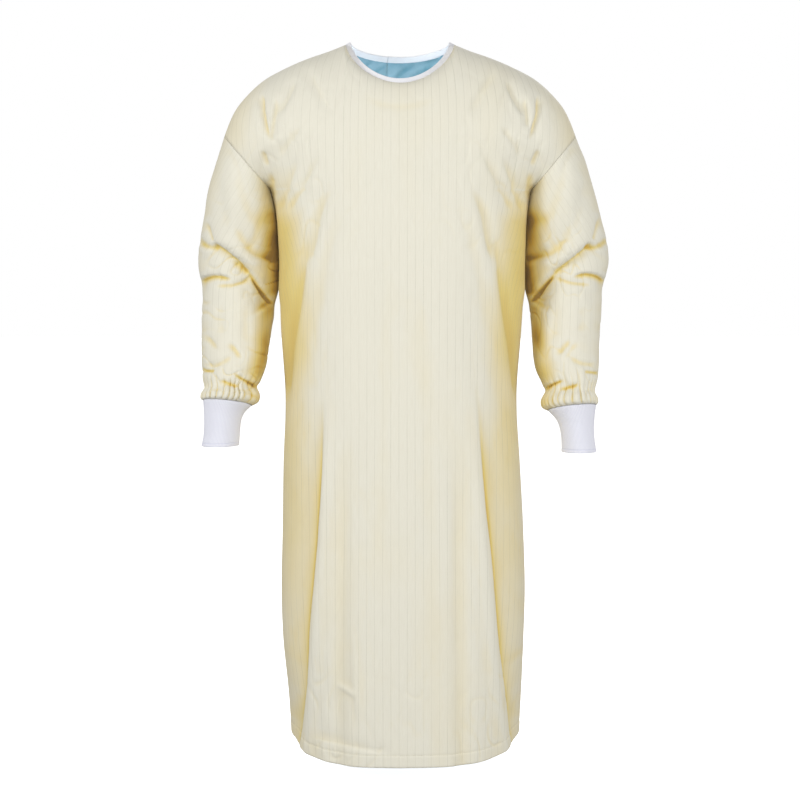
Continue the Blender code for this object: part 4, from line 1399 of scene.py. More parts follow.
@dataclass
class Body:
    """The front and back panels of the body.

    Attributes:
        form: the gown's form.
        finishes: its materials.
        hem: depth of the turned hem.
        facing: width of the turned edge down each back panel.
        seam_inset: from the side seam to the stitches beside it.
        neck_columns: columns inside the neck.
        side_columns: columns on each side of it.
        rows_above: rows above the underarm.
    """

    form: GownForm
    finishes: Finishes
    hem: float = 0.020
    facing: float = 0.0085
    seam_inset: float = 0.006
    neck_columns: int = 240
    side_columns: int = 300
    rows_above: int = 76

    def rows(self) -> Pair:
        """Rows above the underarm as turns, and below it as shares, close where creases are small."""
        turns = np.linspace(0, math.pi, self.rows_above + 1)
        stops = (0.0, 0.15, 0.84, 0.905, 0.962, 1.0)
        counts = (36, 44, 18, 6, 26)
        levels = [np.linspace(a, b, n + 1)[1:] for a, b, n in zip(stops, stops[1:], counts)]
        return turns, np.concatenate(levels)

    def columns(self, face: Face) -> Pair:
        """Columns of a face, closer together where its side folds run.

        They are chosen from a fine even set: each stands for the same share of a weight that is
        greater at the folds and smaller where the cloth turns to the side seams.

        Args:
            face: front or back.

        Returns:
            Their reaches, and how far along the shoulder seam each one's top stands.
        """
        fine = self.form.reaches(self.neck_columns, self.side_columns)
        count = COLUMNS[face]
        weight = 1 + 1.5 * bell(np.abs(fine) - 0.72, 0.17) - 0.45 * ease(np.abs(fine), 0.93, 0.985)
        total = np.cumsum(weight)
        picked = np.searchsorted(total, np.linspace(total[0], total[-1], count))
        kept = [0, self.side_columns, self.side_columns + self.neck_columns, len(fine) - 1]
        if face is Face.BACK:
            for edge in (self.form.inner_back_edge, self.form.outer_back_edge):
                kept.append(int(np.argmin(np.abs(fine - edge))))
        picked = np.unique(np.concatenate((np.clip(picked, 0, len(fine) - 1), kept)))
        from_middle = np.abs(picked - (len(fine) - 1) / 2)
        shares = np.clip((from_middle - self.neck_columns / 2) / self.side_columns, 0.0, 1.0)
        return fine[picked], shares

    def surface(self, face: Face) -> tuple[Array, Array, Array, Array, Array]:
        """A face's finished outside.

        The plain form is pressed in along its normals by the folds, waves and hem. Its edges stay
        on the seams, where the armhole's are drawn in a little.

        Args:
            face: front or back.

        Returns:
            Points, unit normals, painted shade shares, flat places, and the columns' reaches.
        """
        turns, levels = self.rows()
        reach, shares = self.columns(face)
        plain = self.form.body_grid(face, reach, shares, turns, levels)
        flat = flatten(plain)
        normal = unit(np.cross(np.gradient(plain, axis=0), np.gradient(plain, axis=1)) * -face.value)
        x, y = picture(plain)
        given = BACK_FOLDS
        if face is Face.FRONT:
            given = FRONT_LEFT_FOLDS + FRONT_RIGHT_FOLDS + FRONT_MIDDLE_FOLDS + FRONT_PAINTED_SHADE
        depth, gold = pressed(given, x, y)
        seed = SEEDS[face]
        beside = np.abs(x - MIDDLE_COLUMN)
        depth += ripple(x, y, seed, (46, 120), 0.35) * 1.1 * MILLIMETRE
        depth += ripple(x, y, seed + 1, (14, 34), 0.6) * 0.22 * MILLIMETRE
        near_arms = bell(np.hypot(beside - 110, y - 170), 75)
        worn = 0.45 + near_arms * 0.8 + ease(y, 620, 740) * 0.5
        depth += crumple(x, y, seed + 2, (22, 48), 0.9) * worn * 1.3 * MILLIMETRE
        # Painted shade where the cloth faces sideways, away from the light.
        gold = gold + ease(np.abs(normal[..., 0]), 0.35, 1.0) * 0.22
        gold = gold * (0.85 + 0.15 * ripple(x, y, seed + 3, (30, 90), 0.8))
        share = (0.2 + 0.8 * ease(y, 160, 230)) * (0.25 + 0.75 * ease(beside, 60, 110))
        # Painted shade in hollows, and a slight painted highlight on ridges.
        gold = gold + np.clip(hollows(depth, HOLLOW_REACH) * 0.16, -0.06, 0.3) * share
        most = 0.8
        gold = most * (1 - np.exp(-gold / most))
        inner_part = ease(self.form.section(reach), 0.05, 0.42)
        arm_rows = len(turns)
        still = 5 + 8 * ease(np.abs(reach) / self.form.neck_reach, 0.7, 1.0)
        from_top = ease(np.arange(len(plain))[:, None], 0, still)
        from_top = from_top * (1 - 0.8 * bell(np.hypot(beside - 55, y - 50), 12))
        depth = depth * inner_part * from_top

        from_hem = plain[..., 2] - plain[-1:, :, 2]
        depth += self.hem_relief(flat[..., 0], from_hem, x)
        depth[:, (0, -1)] = 0.0
        points = plain - normal * depth[..., None]
        near_arm = bell(np.arange(len(plain)) - (arm_rows - 3), 7.0)[1:-1, None, None] * 0.5
        for _ in range(30):
            mean = (points[:-2, 1:-1] + points[2:, 1:-1]) / 2
            points[1:-1, 1:-1] += (mean - points[1:-1, 1:-1]) * near_arm
        points[0, :, 1] = np.where(np.abs(reach) > self.form.neck_reach - 1e-9, 0.0, points[0, :, 1])
        points[arm_rows:, (0, -1), 1] = 0.0
        for side in Side:
            swell = self.form.side_swell(side, -points[arm_rows:, :, 2])
            points[arm_rows:, :, 0] += side.value * swell * ease(side.value * reach, 0.93, 0.995)
        for side, column in ((Side.LEFT, 0), (Side.RIGHT, -1)):
            ring, inward = self.form.armhole(side, turns if face is Face.FRONT else 2 * math.pi - turns)
            points[:arm_rows, column] = ring + inward * SEAM_DRAW
        if face is Face.FRONT:
            flat = self.skewed(flat, x, y)
        return points, normal, np.clip(gold, 0.0, 1.0), flat, reach

    def hem_relief(self, along: Array, from_hem: Array, x: Array) -> Array:
        """Depth of the hem: a second layer below the stitch line, its groove and its puckers.

        Args:
            along: flat places across.
            from_hem: heights above the hem's edge.
            x: places across in the view, in pixels.

        Returns:
            Depths in metres.
        """
        layer = -0.0005 * (1 - ease(from_hem, self.hem - 0.0015, self.hem + 0.0005))
        groove = 0.0006 * bell(from_hem - self.hem, 0.0016)
        uneven = np.sin(along * 2 * math.pi / 0.0117 + 1.6 * np.sin(along * 61))
        uneven *= 0.6 + 0.4 * np.sin(along * 37 + 1)
        stronger = 0.55 + 0.45 * bell(x - 350, 45)
        puckers = 0.0008 * uneven * stronger * bell(from_hem - self.hem, 0.0085)
        edge = 0.0009 * ease(0.0025 - from_hem, 0.0, 0.0025)
        return layer + groove + puckers + edge

    def skewed(self, flat: Array, x: Array, y: Array) -> Array:
        """Flat places with the grain pulled aslant beside the armpits, where the cloth drapes.

        Args:
            flat: the panel's flat places.
            x: its places across, in pixels.
            y: its places down, in pixels.

        Returns:
            The moved flat places.
        """
        out = flat.copy()
        tall = 1 - ease(y, 340, 440)
        left = ease(320 - (y - 226) * 0.13 - x, 0.0, 26.0)
        right = ease(x - 482 - (y - 226) * 0.13, 0.0, 26.0)
        drop = np.logaddexp(0.0, (y - 205) / 12) * 12 * PIXEL
        out[..., 0] -= drop * 0.5 * tall * left
        out[..., 0] += drop * 0.5 * tall * right
        return out

    def line(self, points: Array, normal: Array, rows: Array, columns: Array) -> Pair:
        """A line on a surface through places between its grid's rows and columns.

        Args:
            points: the surface.
            normal: its unit normals.
            rows: row places along the line.
            columns: column places along it.

        Returns:
            Points a hair above the cloth, and the ways out of it.
        """
        i = np.clip(np.floor(rows).astype(int), 0, len(points) - 2)
        j = np.clip(np.floor(columns).astype(int), 0, points.shape[1] - 2)
        f, g = (rows - i)[:, None], (columns - j)[:, None]
        blended = []
        for grid in (points, normal):
            top = grid[i, j] * (1 - g) + grid[i, j + 1] * g
            foot = grid[i + 1, j] * (1 - g) + grid[i + 1, j + 1] * g
            blended.append(top * (1 - f) + foot * f)
        out = unit(blended[1])
        return blended[0] + out * 0.00008, out

    def row_at(self, points: Array, columns: Array, height: float) -> Array:
        """Row places at a height above the hem's edge.

        Args:
            points: the surface.
            columns: column places.
            height: above the edge, in metres.

        Returns:
            One for each column.
        """
        places = []
        for column in columns:
            rise = points[::-1, int(round(column)), 2] - points[-1, int(round(column)), 2]
            places.append(len(points) - 1 - np.interp(height, rise, np.arange(len(points))))
        return np.array(places)

    def panel(self, node: str, points: Array, flat: Array, gold: Array) -> Piece:
        """A panel's shell, whose way out is away from the gown's upright middle line."""
        middle = points * UP
        return add_shell(node, points, flat, gold, self.finishes.cloth, False, middle, self.form.cloth)

    def build_front(self) -> Piece:
        """Builds the front panel and its hem stitches.

        Returns:
            The panel.
        """
        points, normal, gold, flat, _ = self.surface(Face.FRONT)
        piece = self.panel("front_panel", points, flat, gold)
        columns = np.linspace(1, points.shape[1] - 2, 260)
        hem = self.line(points, normal, self.row_at(points, columns, self.hem), columns)
        stitches = Sewing().piece("front_hem_stitches", [hem], self.finishes.thread)
        self.declare(piece, flat)
        return piece

    def build_backs(self) -> Pair:
        """Builds the two back panels with their stitches: the right one lies under the left one.

        Returns:
            The whole back's points and normals.
        """
        points, normal, gold, flat, reach = self.surface(Face.BACK)
        last = int(np.argmin(np.abs(reach - self.form.outer_back_edge)))
        first = int(np.argmin(np.abs(reach - self.form.inner_back_edge)))
        straight = unit(points[:1] * (1.0, 1.0, 0.0))
        turned_in = ease(np.arange(len(points)), 0, 14)[:, None, None]
        outward = unit(straight * (1 - turned_in) + normal * turned_in)
        under = points - outward * self.form.layer_step
        lap = 1 - ease(np.arange(len(reach)), last, last + 8)[None, :, None]
        right_points = points * (1 - lap) + under * lap
        parts = (
            (Side.LEFT, points, slice(0, last + 1), last),
            (Side.RIGHT, right_points, slice(first, len(reach)), first),
        )
        for side, whole, columns, edge in parts:
            mine, laid, out = whole[:, columns].copy(), flat[:, columns], normal[:, columns]
            width = np.abs(laid[..., 0] - flat[:, edge, 0][:, None])
            turned = -0.0004 * (1 - ease(width, self.facing - 0.0012, self.facing + 0.0006))
            turned += 0.0005 * bell(width - self.facing, 0.0016)
            waves = np.sin(laid[..., 1] * 2 * math.pi / 0.014 + np.sin(laid[..., 1] * 47))
            turned += 0.0004 * waves * bell(width - self.facing, 0.007)
            mine -= out * turned[..., None]
            if side is Side.LEFT:
                closing = (self.form.layer_step - self.form.cloth - 0.0002) * (1 - ease(width, 0.0, 0.012))
                mine -= outward[:, columns] * closing[..., None]
            piece = self.panel(f"back_panel_{side.word}", mine, laid, gold[:, columns])
            lines = self.back_lines(mine, out, laid, side)
            stitches = Sewing().piece(f"back_{side.word}_stitches", lines, self.finishes.thread)
            self.declare(piece, laid)
        return points, normal

    def back_lines(self, points: Array, normal: Array, flat: Array, side: Side) -> list[Pair]:
        """Stitch lines of a back panel: its hem, its free edge and its side seam.

        Args:
            points: the panel.
            normal: its unit normals.
            flat: its flat places.
            side: the left panel's free edge is its last column, the right one's its first.

        Returns:
            Each line's points and ways out of the cloth.
        """
        count = points.shape[1]
        columns = np.linspace(1, count - 2, 200)
        lines = [self.line(points, normal, self.row_at(points, columns, self.hem), columns)]
        rows = np.linspace(3, len(points) - 2, 320)
        order = np.arange(count)[::side.value]
        edges = ((self.facing, order, 0), (self.seam_inset, order[::-1], self.rows_above + 1))
        for inset, turned, start in edges:
            places = []
            for row in np.clip(rows.round().astype(int), 0, len(points) - 1):
                span = np.abs(flat[row, turned, 0] - flat[row, turned[0], 0])
                places.append(np.interp(inset, span, turned.astype(float)))
            keep = rows > start
            lines.append(self.line(points, normal, rows[keep], np.array(places)[keep]))
        return lines

    def declare(self, piece: Piece, flat: Array) -> None:
        """Logs a panel's flat box and area, which come from laying its grid flat."""
        size, area = flat_size(flat)
        log.info("%s flat %s area %.3f", piece.name, size, area)


@dataclass
class Sleeve:
    """A sleeve with its elbow folds, gathered onto its cuff.

    Attributes:
        form: the gown's form.
        finishes: its materials.
        side: which sleeve.
        gathers: gathers round its end.
        front_columns: columns in front.
        back_columns: columns behind.
    """

    form: GownForm
    finishes: Finishes
    side: Side
    gathers: int = 26
    front_columns: int = 138
    back_columns: int = 84

    def rows(self) -> tuple[Array, int]:
        """Row places in the sleeve's table, close where folds are small, and how many are plain."""
        stops = (0.0, 3.2, 7.0, 8.6, 9.4, 11.0)
        counts = (40, 82, 22, 14, 44)
        rows = [np.linspace(a, b, n + 1)[1:] for a, b, n in zip(stops, stops[1:], counts)]
        return np.concatenate([(0.0,)] + rows), 1 + sum(counts[:-1])

    def gather_waves(self, rows: Array, turns: Array) -> Array:
        """Height of the gathers: |cos| crests between pinched valleys, of uneven size and place.

        Args:
            rows: row places in the sleeve's table.
            turns: angles round it.

        Returns:
            Heights out of the cloth in metres, rows by turns.
        """
        keys = np.array((8.9, 9.6, 10.0, 10.4, 10.65, 10.82, 10.93, 11.0))
        tall = np.array((0.0, 0.3, 0.9, 1.7, 2.4, 2.2, 1.3, 0.5)) * MILLIMETRE
        height = np.interp(rows, keys, tall)[:, None]
        start = 1.3 if self.side is Side.LEFT else 4.1
        drift = 0.75 * np.sin(3 * turns + start) + 0.5 * np.sin(5 * turns + 2.2 * start)
        sway = 0.35 * np.sin(2.0 * rows[:, None] * 1.7 + 4 * turns + start)
        crest = np.abs(np.cos(self.gathers / 2 * turns + drift + sway))
        uneven = 1 + 0.3 * np.sin(7 * turns + start) + 0.2 * np.sin(11 * turns + 3 * start)
        return height * uneven * (2 * crest ** 0.8 - 1.15)

    def build(self) -> Piece:
        """Builds the sleeve: rings of the form, moved by its folds, waves and gathers.

        Returns:
            The object.
        """
        behind_it = np.linspace(math.pi, 2 * math.pi, self.back_columns, endpoint=False)
        before_it = np.linspace(2 * math.pi, 3 * math.pi, self.front_columns, endpoint=False)
        turns = np.concatenate((behind_it, before_it))
        rows, plain_rows = self.rows()
        sizes = self.form.sleeves[self.side]
        plain = self.form.ring(self.side, sizes, rows, turns)
        normal, middle = tube_normals(plain)

        x, y = picture(plain)
        ahead = ease(np.sin(turns), -0.15, 0.45)[None]
        behind = ease(-np.sin(turns), -0.05, 0.45)[None]
        front, back = SLEEVE_FOLDS[self.side]
        front_depth, front_painted_shade = pressed(front, x, y)
        back_depth, back_painted_shade = pressed(back, x, y)
        depth = front_depth * ahead + back_depth * behind
        gold = front_painted_shade * ahead + back_painted_shade * behind
        seed = SEEDS[self.side]
        depth += ripple(x, y, seed, (26, 70), 1.2) * 0.9 * MILLIMETRE
        depth += ripple(x, y, seed + 1, (10, 24), 1.5) * 0.25 * MILLIMETRE
        worn = 0.35 + 0.65 * ease(y, 225, 250) * (1 - ease(y, 300, 335)) + 0.65 * ease(y, 335, 365)
        depth += crumple(x, y, seed + 3, (15, 38), 1.5) * worn * 1.5 * MILLIMETRE
        # Painted shade on the sleeve's inner side, which turns to the body, and where it faces sideways.
        inner_side = ease(-np.cos(turns), 0.35, 1.0)[None]
        gold = gold + inner_side * 0.3 + ease(np.abs(normal[..., 0]), 0.6, 1.0) * 0.12
        gold = gold * (0.85 + 0.2 * ripple(x, y, seed + 2, (20, 60), 1.5))
        share = 0.3 + 0.7 * ease(y, 180, 240)
        # Painted shade in hollows, and a slight painted highlight on ridges.
        gold = gold + np.clip(hollows(depth, HOLLOW_REACH) * 0.17, -0.08, 0.34) * share
        from_ends = ease(rows, 0.0, 0.55)[:, None] * (1 - ease(rows, 10.35, 10.8))[:, None]
        beside = ease(-np.cos(turns), 0.75, 1.0)[None]
        depth *= from_ends * (1 - 0.85 * beside * (1 - ease(rows, 6.0, 7.0))[:, None])
        waves = self.gather_waves(rows, turns)
        points = plain - normal * depth[..., None] + normal * waves[..., None]
        points[..., 0] -= self.side.value * self.form.side_swell(self.side, -plain[..., 2]) * beside
        # Painted shade in the valleys of the gathers.
        gold += ease(-waves, 0.0, 0.0022) * 0.45
        ring, inward = self.form.armhole(self.side, turns)
        points[0] = ring + inward * SEAM_DRAW

        closed = np.concatenate((plain, plain[:, :1]), axis=1)
        flat = flatten(closed[: plain_rows + 6])
        last = np.repeat(flat[-1:], len(rows) - len(flat), axis=0)
        slope = np.linalg.norm(np.diff(plain[len(flat) - 1:].mean(axis=1), axis=0), axis=-1)
        last[..., 1] -= np.cumsum(slope)[:, None]
        flat = np.concatenate((flat, last))
        size, area = flat_size(flat)
        rise = flat[..., 1] - np.interp(5.2, rows, flat[:, self.back_columns, 1])
        flat[..., 0] -= 0.5 * np.logaddexp(0.0, rise / 0.02) * 0.02
        node = f"sleeve_{self.side.word}"
        gold = np.clip(gold, 0, 1)
        piece = add_shell(node, points, flat, gold, self.finishes.cloth, True, middle, self.form.cloth)
        log.info("%s flat %s area %.3f", piece.name, size, area)
        return piece


@dataclass
class Cuff:
    """A rib-knit cuff: a tube turned up inside, with its turned edge sewn down.

    Attributes:
        form: the gown's form.
        finishes: its materials.
        side: which cuff.
        ribs: ribs round it.
        columns_each: columns to a rib.
        pitch: from one rib to the next, before the knit is stretched.
        wall: thickness of the double knit.
        turned: height of the turned edge.
    """

    form: GownForm
    finishes: Finishes
    side: Side
    ribs: int = 84
    columns_each: int = 4
    pitch: float = 0.0024
    wall: float = 0.0024
    turned: float = 0.0055

    def build(self) -> Piece:
        """Builds the cuff.

        Rows run down the outside, round the folded foot on a half circle and up the inside. Ribs
        are |cos| waves, and the turned edge stands out below a groove.

        Returns:
            The object.
        """
        sizes = self.form.cuffs[self.side]
        columns = self.ribs * self.columns_each
        turns = math.pi + np.linspace(0, 2 * math.pi, columns, endpoint=False)
        shares = np.concatenate((np.linspace(0, 4.55, 28), np.linspace(4.55, 4.93, 12)[1:]))
        outer = self.form.ring(self.side, sizes, shares, turns)
        normal, middle = tube_normals(outer)
        foot = self.form.ring(self.side, sizes, np.array((5.0,)), turns)[0]
        height = np.linalg.norm(outer - foot[None], axis=-1)
        crest = np.abs(np.cos(self.ribs / 2 * turns))
        rib = 0.00045 * (crest ** 0.7 - 1) * ease(height, 0.0, 0.003)
        line = -0.00045 * bell(height - self.turned, 0.0009)
        lip = 0.0003 * (1 - ease(height, self.turned - 0.0008, self.turned + 0.0006))
        sewn = -0.0008 * bell(shares[:, None], 0.10)
        outside = outer + normal * (rib + line + lip + sewn)[..., None]

        down = unit(foot - outer[-1])
        half = self.wall / 2
        bends = np.linspace(0, math.pi, 7)[1:-1, None, None]
        base = outside[-1] - normal[-1] * half
        fold = base + normal[-1] * half * np.cos(bends) + down * half * np.sin(bends) * 1.1
        inside = (outer - normal * self.wall)[::-3]
        points = np.concatenate((outside, fold, inside))

        steps = np.linalg.norm(np.diff(points, axis=0), axis=-1).mean(axis=1)
        along = np.concatenate(((0.0,), np.cumsum(steps), (np.sum(steps) + self.wall,)))
        across = np.linspace(0, self.pitch * self.ribs, columns + 1)
        uv = np.stack(np.broadcast_arrays(across[None], along[:, None]), axis=-1)
        # Painted shade share: in the grooves between ribs and along the groove above the turned edge.
        groove = np.broadcast_to(1 - crest, points.shape[:2]) * 0.8
        groove = np.concatenate((
            groove[:len(outer)] * 0.8 + 0.5 * bell(height - self.turned, 0.0009), groove[len(outer):]
        ))
        faces, places = grid_faces(len(points), columns, ring=True, loop=True)
        ways = (outer - middle)[:-1].reshape(-1, 3)
        if inside_out(points, faces, ways):
            faces, places = faces[:, ::-1], places[:, ::-1]
        node = f"cuff_{self.side.word}"
        corners = uv.reshape(-1, 2)[places]
        piece = add_piece(node + "_knit", points, faces.tolist(), (self.finishes.knit,), corners, groove)
        place_piece(piece, "rib_knit", node)
        ring = outer[20]
        girth = float(np.linalg.norm(ring - np.roll(ring, 1, axis=0), axis=-1).sum())
        return piece


@dataclass
class NeckBinding:
    """The folded tape round the neck, open at the back overlap.

    Attributes:
        form: the gown's form.
        finishes: its materials.
        width: height of the tape that shows.
        thick: thickness of the folded tape.
        tuck: how far it reaches over the cloth's edge.
        lean: how far it leans in to the neck, for a rise of one, in the middle.
        shoulder_lean: the same at the shoulders.
    """

    form: GownForm
    finishes: Finishes
    width: float = 0.0093
    thick: float = 0.0025
    tuck: float = 0.0012
    lean: float = 0.65
    shoulder_lean: float = 1.6

    def edge(self) -> Pair:
        """Neckline from the inner back panel's edge, round the front, to the outer one's.

        Returns:
            Points, and each one's reach.
        """
        reach = self.form.neck_reach
        inner = np.linspace(self.form.inner_back_edge, reach, 72)[:-1]
        front = np.linspace(reach, -reach, 140)
        outer = np.linspace(-reach, self.form.outer_back_edge, 96)[1:]
        inner_points = self.form.neck_edge(inner, Face.BACK)
        spread = 1 - ease(inner, 0.30, reach)
        radial = unit(inner_points * (1.0, 1.0, 0.0))
        inner_points = inner_points - radial * (self.form.layer_step * spread)[:, None]
        parts = (inner_points, self.form.neck_edge(front, Face.FRONT), self.form.neck_edge(outer, Face.BACK))
        return np.concatenate(parts), np.concatenate((inner, front, outer))

    def evened(self, vectors: Array) -> Array:
        """Unit vectors along the tape, each averaged with its neighbours under a bell-shaped window.

        Args:
            vectors: one at each place along the tape.

        Returns:
            As many unit vectors.
        """
        reach = 7
        window = np.hanning(2 * reach + 1)
        padded = np.pad(vectors, ((reach, reach), (0, 0)), mode="edge")
        means = [np.convolve(column, window / window.sum(), mode="valid") for column in padded.T]
        return unit(np.stack(means, axis=-1))

    def build(self) -> Piece:
        """Builds the tape: a rounded folded profile carried along the neckline, with closed ends.

        Returns:
            The object.
        """
        edge, reach = self.edge()
        keys = lengths(edge)
        at = np.linspace(0, keys[-1], 420)
        edge = read_at(at, keys, edge)
        reach = np.interp(at, keys, np.abs(reach))
        inward = unit(-edge * (1.0, 1.0, 0.0))
        lean = self.lean + (self.shoulder_lean - self.lean) * (reach / self.form.neck_reach) ** 4
        way_up = self.evened(unit(inward * lean[:, None] + UP))
        outward = np.cross(unit(np.gradient(edge, axis=0)), way_up)
        turned_in = np.sum(outward * inward, axis=-1, keepdims=True) > 0
        outward = self.evened(unit(np.where(turned_in, -outward, outward)))
        way_up = unit(way_up - outward * np.sum(way_up * outward, axis=-1, keepdims=True))

        half = self.thick / 2
        bends = np.linspace(0, math.pi, 7)
        top = self.width - half
        face = np.linspace(-self.tuck, top, 9)[:-1]
        bulge = 0.00035 * np.sin(np.linspace(0.35, 1.0, 8) * math.pi)
        rise = np.concatenate((face, top + half * np.sin(bends), face[::-1]))
        run = np.concatenate((bulge, half * np.cos(bends) - half, -self.thick - bulge[::-1]))
        waves = 0.00022 * np.sin(at * 2 * math.pi / 0.0095 + 1.3 * np.sin(at * 73))
        waves *= 0.7 + 0.3 * np.sin(at * 29)
        show = np.concatenate((np.linspace(1.0, 0.3, 8), np.full(7, 0.2), np.linspace(0.3, 1.0, 8)))
        base = edge + outward * 0.0004
        points = (base[None] + way_up[None] * rise[:, None, None]
                  + outward[None] * (run[:, None] + waves[None] * show[:, None])[..., None])
        rows, columns = points.shape[:2]
        faces, places = grid_faces(rows, columns, ring=False, loop=True)
        across = np.append(lengths(np.stack((rise, run), axis=-1)), 0.024)
        uv = np.stack(np.broadcast_arrays(across[:, None], at[None]), axis=-1)
        numbers = np.arange(rows * columns).reshape(rows, columns)
        caps = [numbers[::-1, 0].tolist(), numbers[:, -1].tolist()]
        if inside_out(points, faces, np.tile(outward[:-1], (6, 1))):
            faces, places = faces[:, ::-1], places[:, ::-1]
            caps = [cap[::-1] for cap in caps]
        corners = uv.reshape(-1, 2)[places].reshape(-1, 2)
        corners = np.concatenate((corners, np.tile(uv[0, :1], (2 * rows, 1))))
        piece = add_piece("neck_binding_tape", points, faces.tolist() + caps, (self.finishes.tape,), corners)
        place_piece(piece, "binding_tape", "neck_binding")
        line = base + way_up * 0.0006 + outward * (0.00028 + waves * 0.9)[:, None]
        stitches = Sewing(pitch=0.0027, length=0.0020, radius=0.0002).piece(
            "neck_binding_stitches", [(line, outward)], self.finishes.white_thread
        )
        size = (round(grid_area(points) / 2 / keys[-1], 4), round(float(keys[-1]), 3))
        log.info("%s flat %s", piece.name, size)
        return piece


@dataclass
class PressStuds:
    """The caps of the two press studs on the back overlap.

    Attributes:
        finishes: its materials.
        sides: sides of each round cap.
    """

    finishes: Finishes
    sides: int = 40

    def build(self, points: Array, normal: Array) -> None:
        """Builds a cap where each stud's solid is.

        A cap's profile runs from its rim's foot over the rounded rim and a shallow ring groove to
        its middle, and is turned about the way out of the cloth.

        Args:
            points: the back's points.
            normal: its unit normals.
        """
        profile = np.array((
            (0.0, -0.0004), (0.0056, -0.0004), (0.0060, 0.0001), (0.0060, 0.0007), (0.0056, 0.0012),
            (0.0049, 0.0014), (0.0043, 0.0013), (0.0038, 0.0008), (0.0033, 0.0008), (0.0029, 0.0012),
            (0.0018, 0.0015), (0.0007, 0.0016), (0.0, 0.0016),
        ))
        turns = np.linspace(0, 2 * math.pi, self.sides, endpoint=False)
        for node in ("neck_press_stud", "waist_press_stud"):
            low, high = (np.array(corner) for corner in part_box(node))
            centre = (low + high) / 2
            apart = np.linalg.norm(points - centre, axis=-1)
            near = np.unravel_index(np.argmin(apart), apart.shape)
            out = normal[near]
            foot = centre - out * np.sum((centre - points[near]) * out) + out * 0.0005
            aside = unit(np.cross(out, UP))
            other = np.cross(out, aside)
            spokes = np.cos(turns)[:, None] * aside + np.sin(turns)[:, None] * other
            rings = foot + spokes[None] * profile[1:-1, 0, None, None] + out * profile[1:-1, 1, None, None]
            ends = foot + out * profile[(0, -1), 1][:, None]
            count = rings.shape[0] * self.sides
            faces, _ = grid_faces(rings.shape[0], self.sides, ring=True)
            ways = rings.reshape(-1, 3)[faces[:, 0]] - foot
            order = -1 if inside_out(rings, faces, ways) else 1
            faces = faces[:, ::order].tolist()
            for i in range(self.sides):
                j = (i + 1) % self.sides
                faces.append((count, j, i)[::order])
                faces.append((count + 1, count - self.sides + i, count - self.sides + j)[::order])
            made = np.concatenate((rings.reshape(-1, 3), ends))
            piece = add_piece(node + "_cap", made, faces, (self.finishes.plastic,))
            place_piece(piece, "stud_plastic", node)


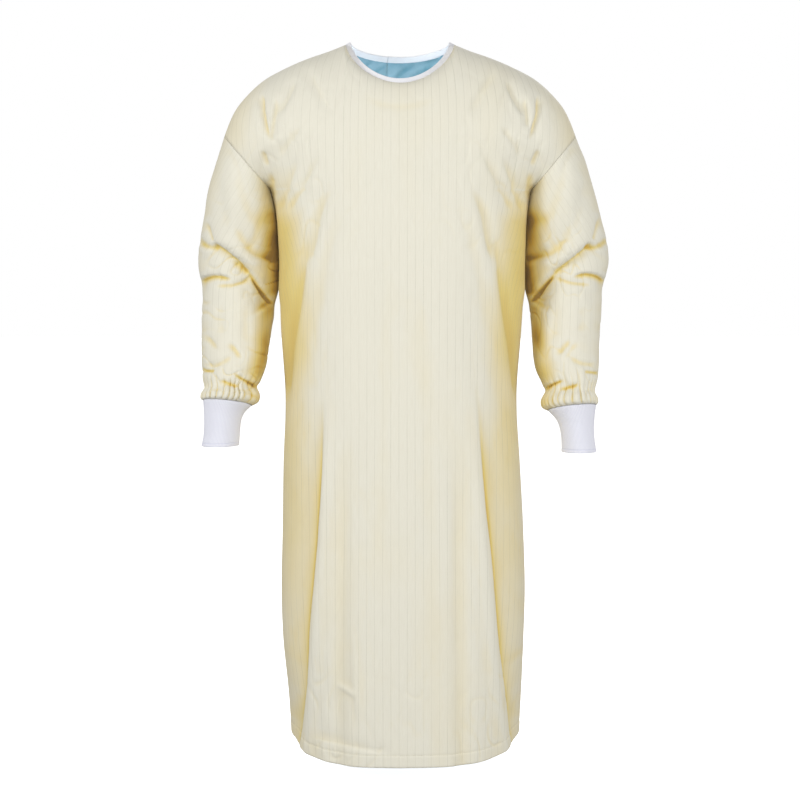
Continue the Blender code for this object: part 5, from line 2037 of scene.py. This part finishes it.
@dataclass(frozen=True)
class Studio:
    """Floor, light and camera.

    Attributes:
        lens: of the camera, in millimetres.
        target: height that the camera looks at.
        floor: height of the floor.
        room_light: strength of the surroundings as a light.
    """

    lens: float = 97.7
    target: float = -0.589
    floor: float = -1.20
    room_light: float = 0.43

    def build(self) -> None:
        """Builds the pale floor, the soft lights and the camera of the picture's view."""
        scene = bpy.context.scene
        scene.view_settings.view_transform = "Standard"
        self.add_world(scene)
        self.add_floor()
        aim = (0.0, 0.0, self.target)
        self.add_area("front_light", (0.2, -3.1, 0.5), aim, 1.0, 32.0)
        self.add_area("left_light", (-2.4, -1.8, 0.3), aim, 0.7, 32.0)
        self.add_area("right_light", (2.3, -1.8, -0.6), aim, 1.0, 22.0)
        self.add_area("back_light", (0.6, 3.0, 0.9), aim, 2.0, 44.0)
        self.add_area("inner_light", (0.0, -0.02, -0.36), (0.0, 0.06, -0.03), 0.16, 0.62)
        camera = bpy.data.cameras.new("camera")
        camera.lens = self.lens
        camera.sensor_width = 36.0
        scene.camera = self.aimed(camera, (0.0, -VIEW_DISTANCE, VIEW_HEIGHT), aim)

    def add_world(self, scene: bpy.types.Scene) -> None:
        """White surroundings, dimmer as a light than as a background."""
        world = bpy.data.worlds.new("white_room")
        scene.world = world
        world.use_nodes = True
        nodes, links = world.node_tree.nodes, world.node_tree.links
        nodes.clear()
        mix = nodes.new("ShaderNodeMixShader")
        for socket, strength in ((1, self.room_light), (2, 1.0)):
            background = nodes.new("ShaderNodeBackground")
            background.inputs["Color"].default_value = (1.0, 1.0, 1.0, 1.0)
            background.inputs["Strength"].default_value = strength
            links.new(background.outputs[0], mix.inputs[socket])
        path = nodes.new("ShaderNodeLightPath")
        output = nodes.new("ShaderNodeOutputWorld")
        links.new(path.outputs["Is Camera Ray"], mix.inputs[0])
        links.new(mix.outputs[0], output.inputs["Surface"])

    def add_floor(self) -> None:
        """A plain pale floor that glows as white as the surroundings."""
        reach = 30.0
        corners = np.array(((-reach, -reach), (reach, -reach), (reach, reach), (-reach, reach)))
        points = np.concatenate((corners, np.full((4, 1), self.floor)), axis=1)
        material = bpy.data.materials.new("pale_floor")
        material.use_nodes = True
        shader = material.node_tree.nodes["Principled BSDF"]
        shader.inputs["Base Color"].default_value = (0.9, 0.9, 0.9, 1.0)
        shader.inputs["Emission Color"].default_value = (1.0, 1.0, 1.0, 1.0)
        shader.inputs["Emission Strength"].default_value = 0.9
        floor = add_piece("floor", points, [(0, 1, 2, 3)], (material,))
        floor.visible_diffuse = False
        floor.visible_glossy = False

    def add_area(self, name: str, place: tuple, aim: tuple, size: float, power: float) -> None:
        """Adds a soft square light.

        Args:
            name: its name.
            place: where it stands.
            aim: the point that it looks at.
            size: its width, in metres.
            power: in watts.
        """
        light = bpy.data.lights.new(name, "AREA")
        light.size = size
        light.energy = power
        self.aimed(light, place, aim)

    def aimed(self, data: bpy.types.ID, place: tuple, aim: tuple) -> Piece:
        """Puts a light or camera at a place, turned to the point that it looks at.

        Args:
            data: the light or camera.
            place: where it stands.
            aim: the point.

        Returns:
            The object.
        """
        item = bpy.data.objects.new(data.name, data)
        bpy.context.collection.objects.link(item)
        item.location = place
        item.rotation_euler = (Vector(aim) - Vector(place)).to_track_quat("-Z", "Y").to_euler()
        return item


def corners(box: tuple) -> list[list[float]]:
    """A box's corners as plain lists."""
    return [[float(value) for value in corner] for corner in box]


def main() -> None:
    """Builds every part of the dressed gown."""
    logging.basicConfig(level=logging.INFO, format="%(name)s %(message)s")
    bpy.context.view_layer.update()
    form = GownForm()
    finishes = Finishes.build()
    body = Body(form, finishes)
    body.build_front()
    back_points, back_normals = body.build_backs()
    for side in Side:
        Sleeve(form, finishes, side).build()
        Cuff(form, finishes, side).build()
    NeckBinding(form, finishes).build()
    PressStuds(finishes).build(back_points, back_normals)
    Studio().build()
    bpy.context.view_layer.update()


if __name__ == "__main__":
    main()
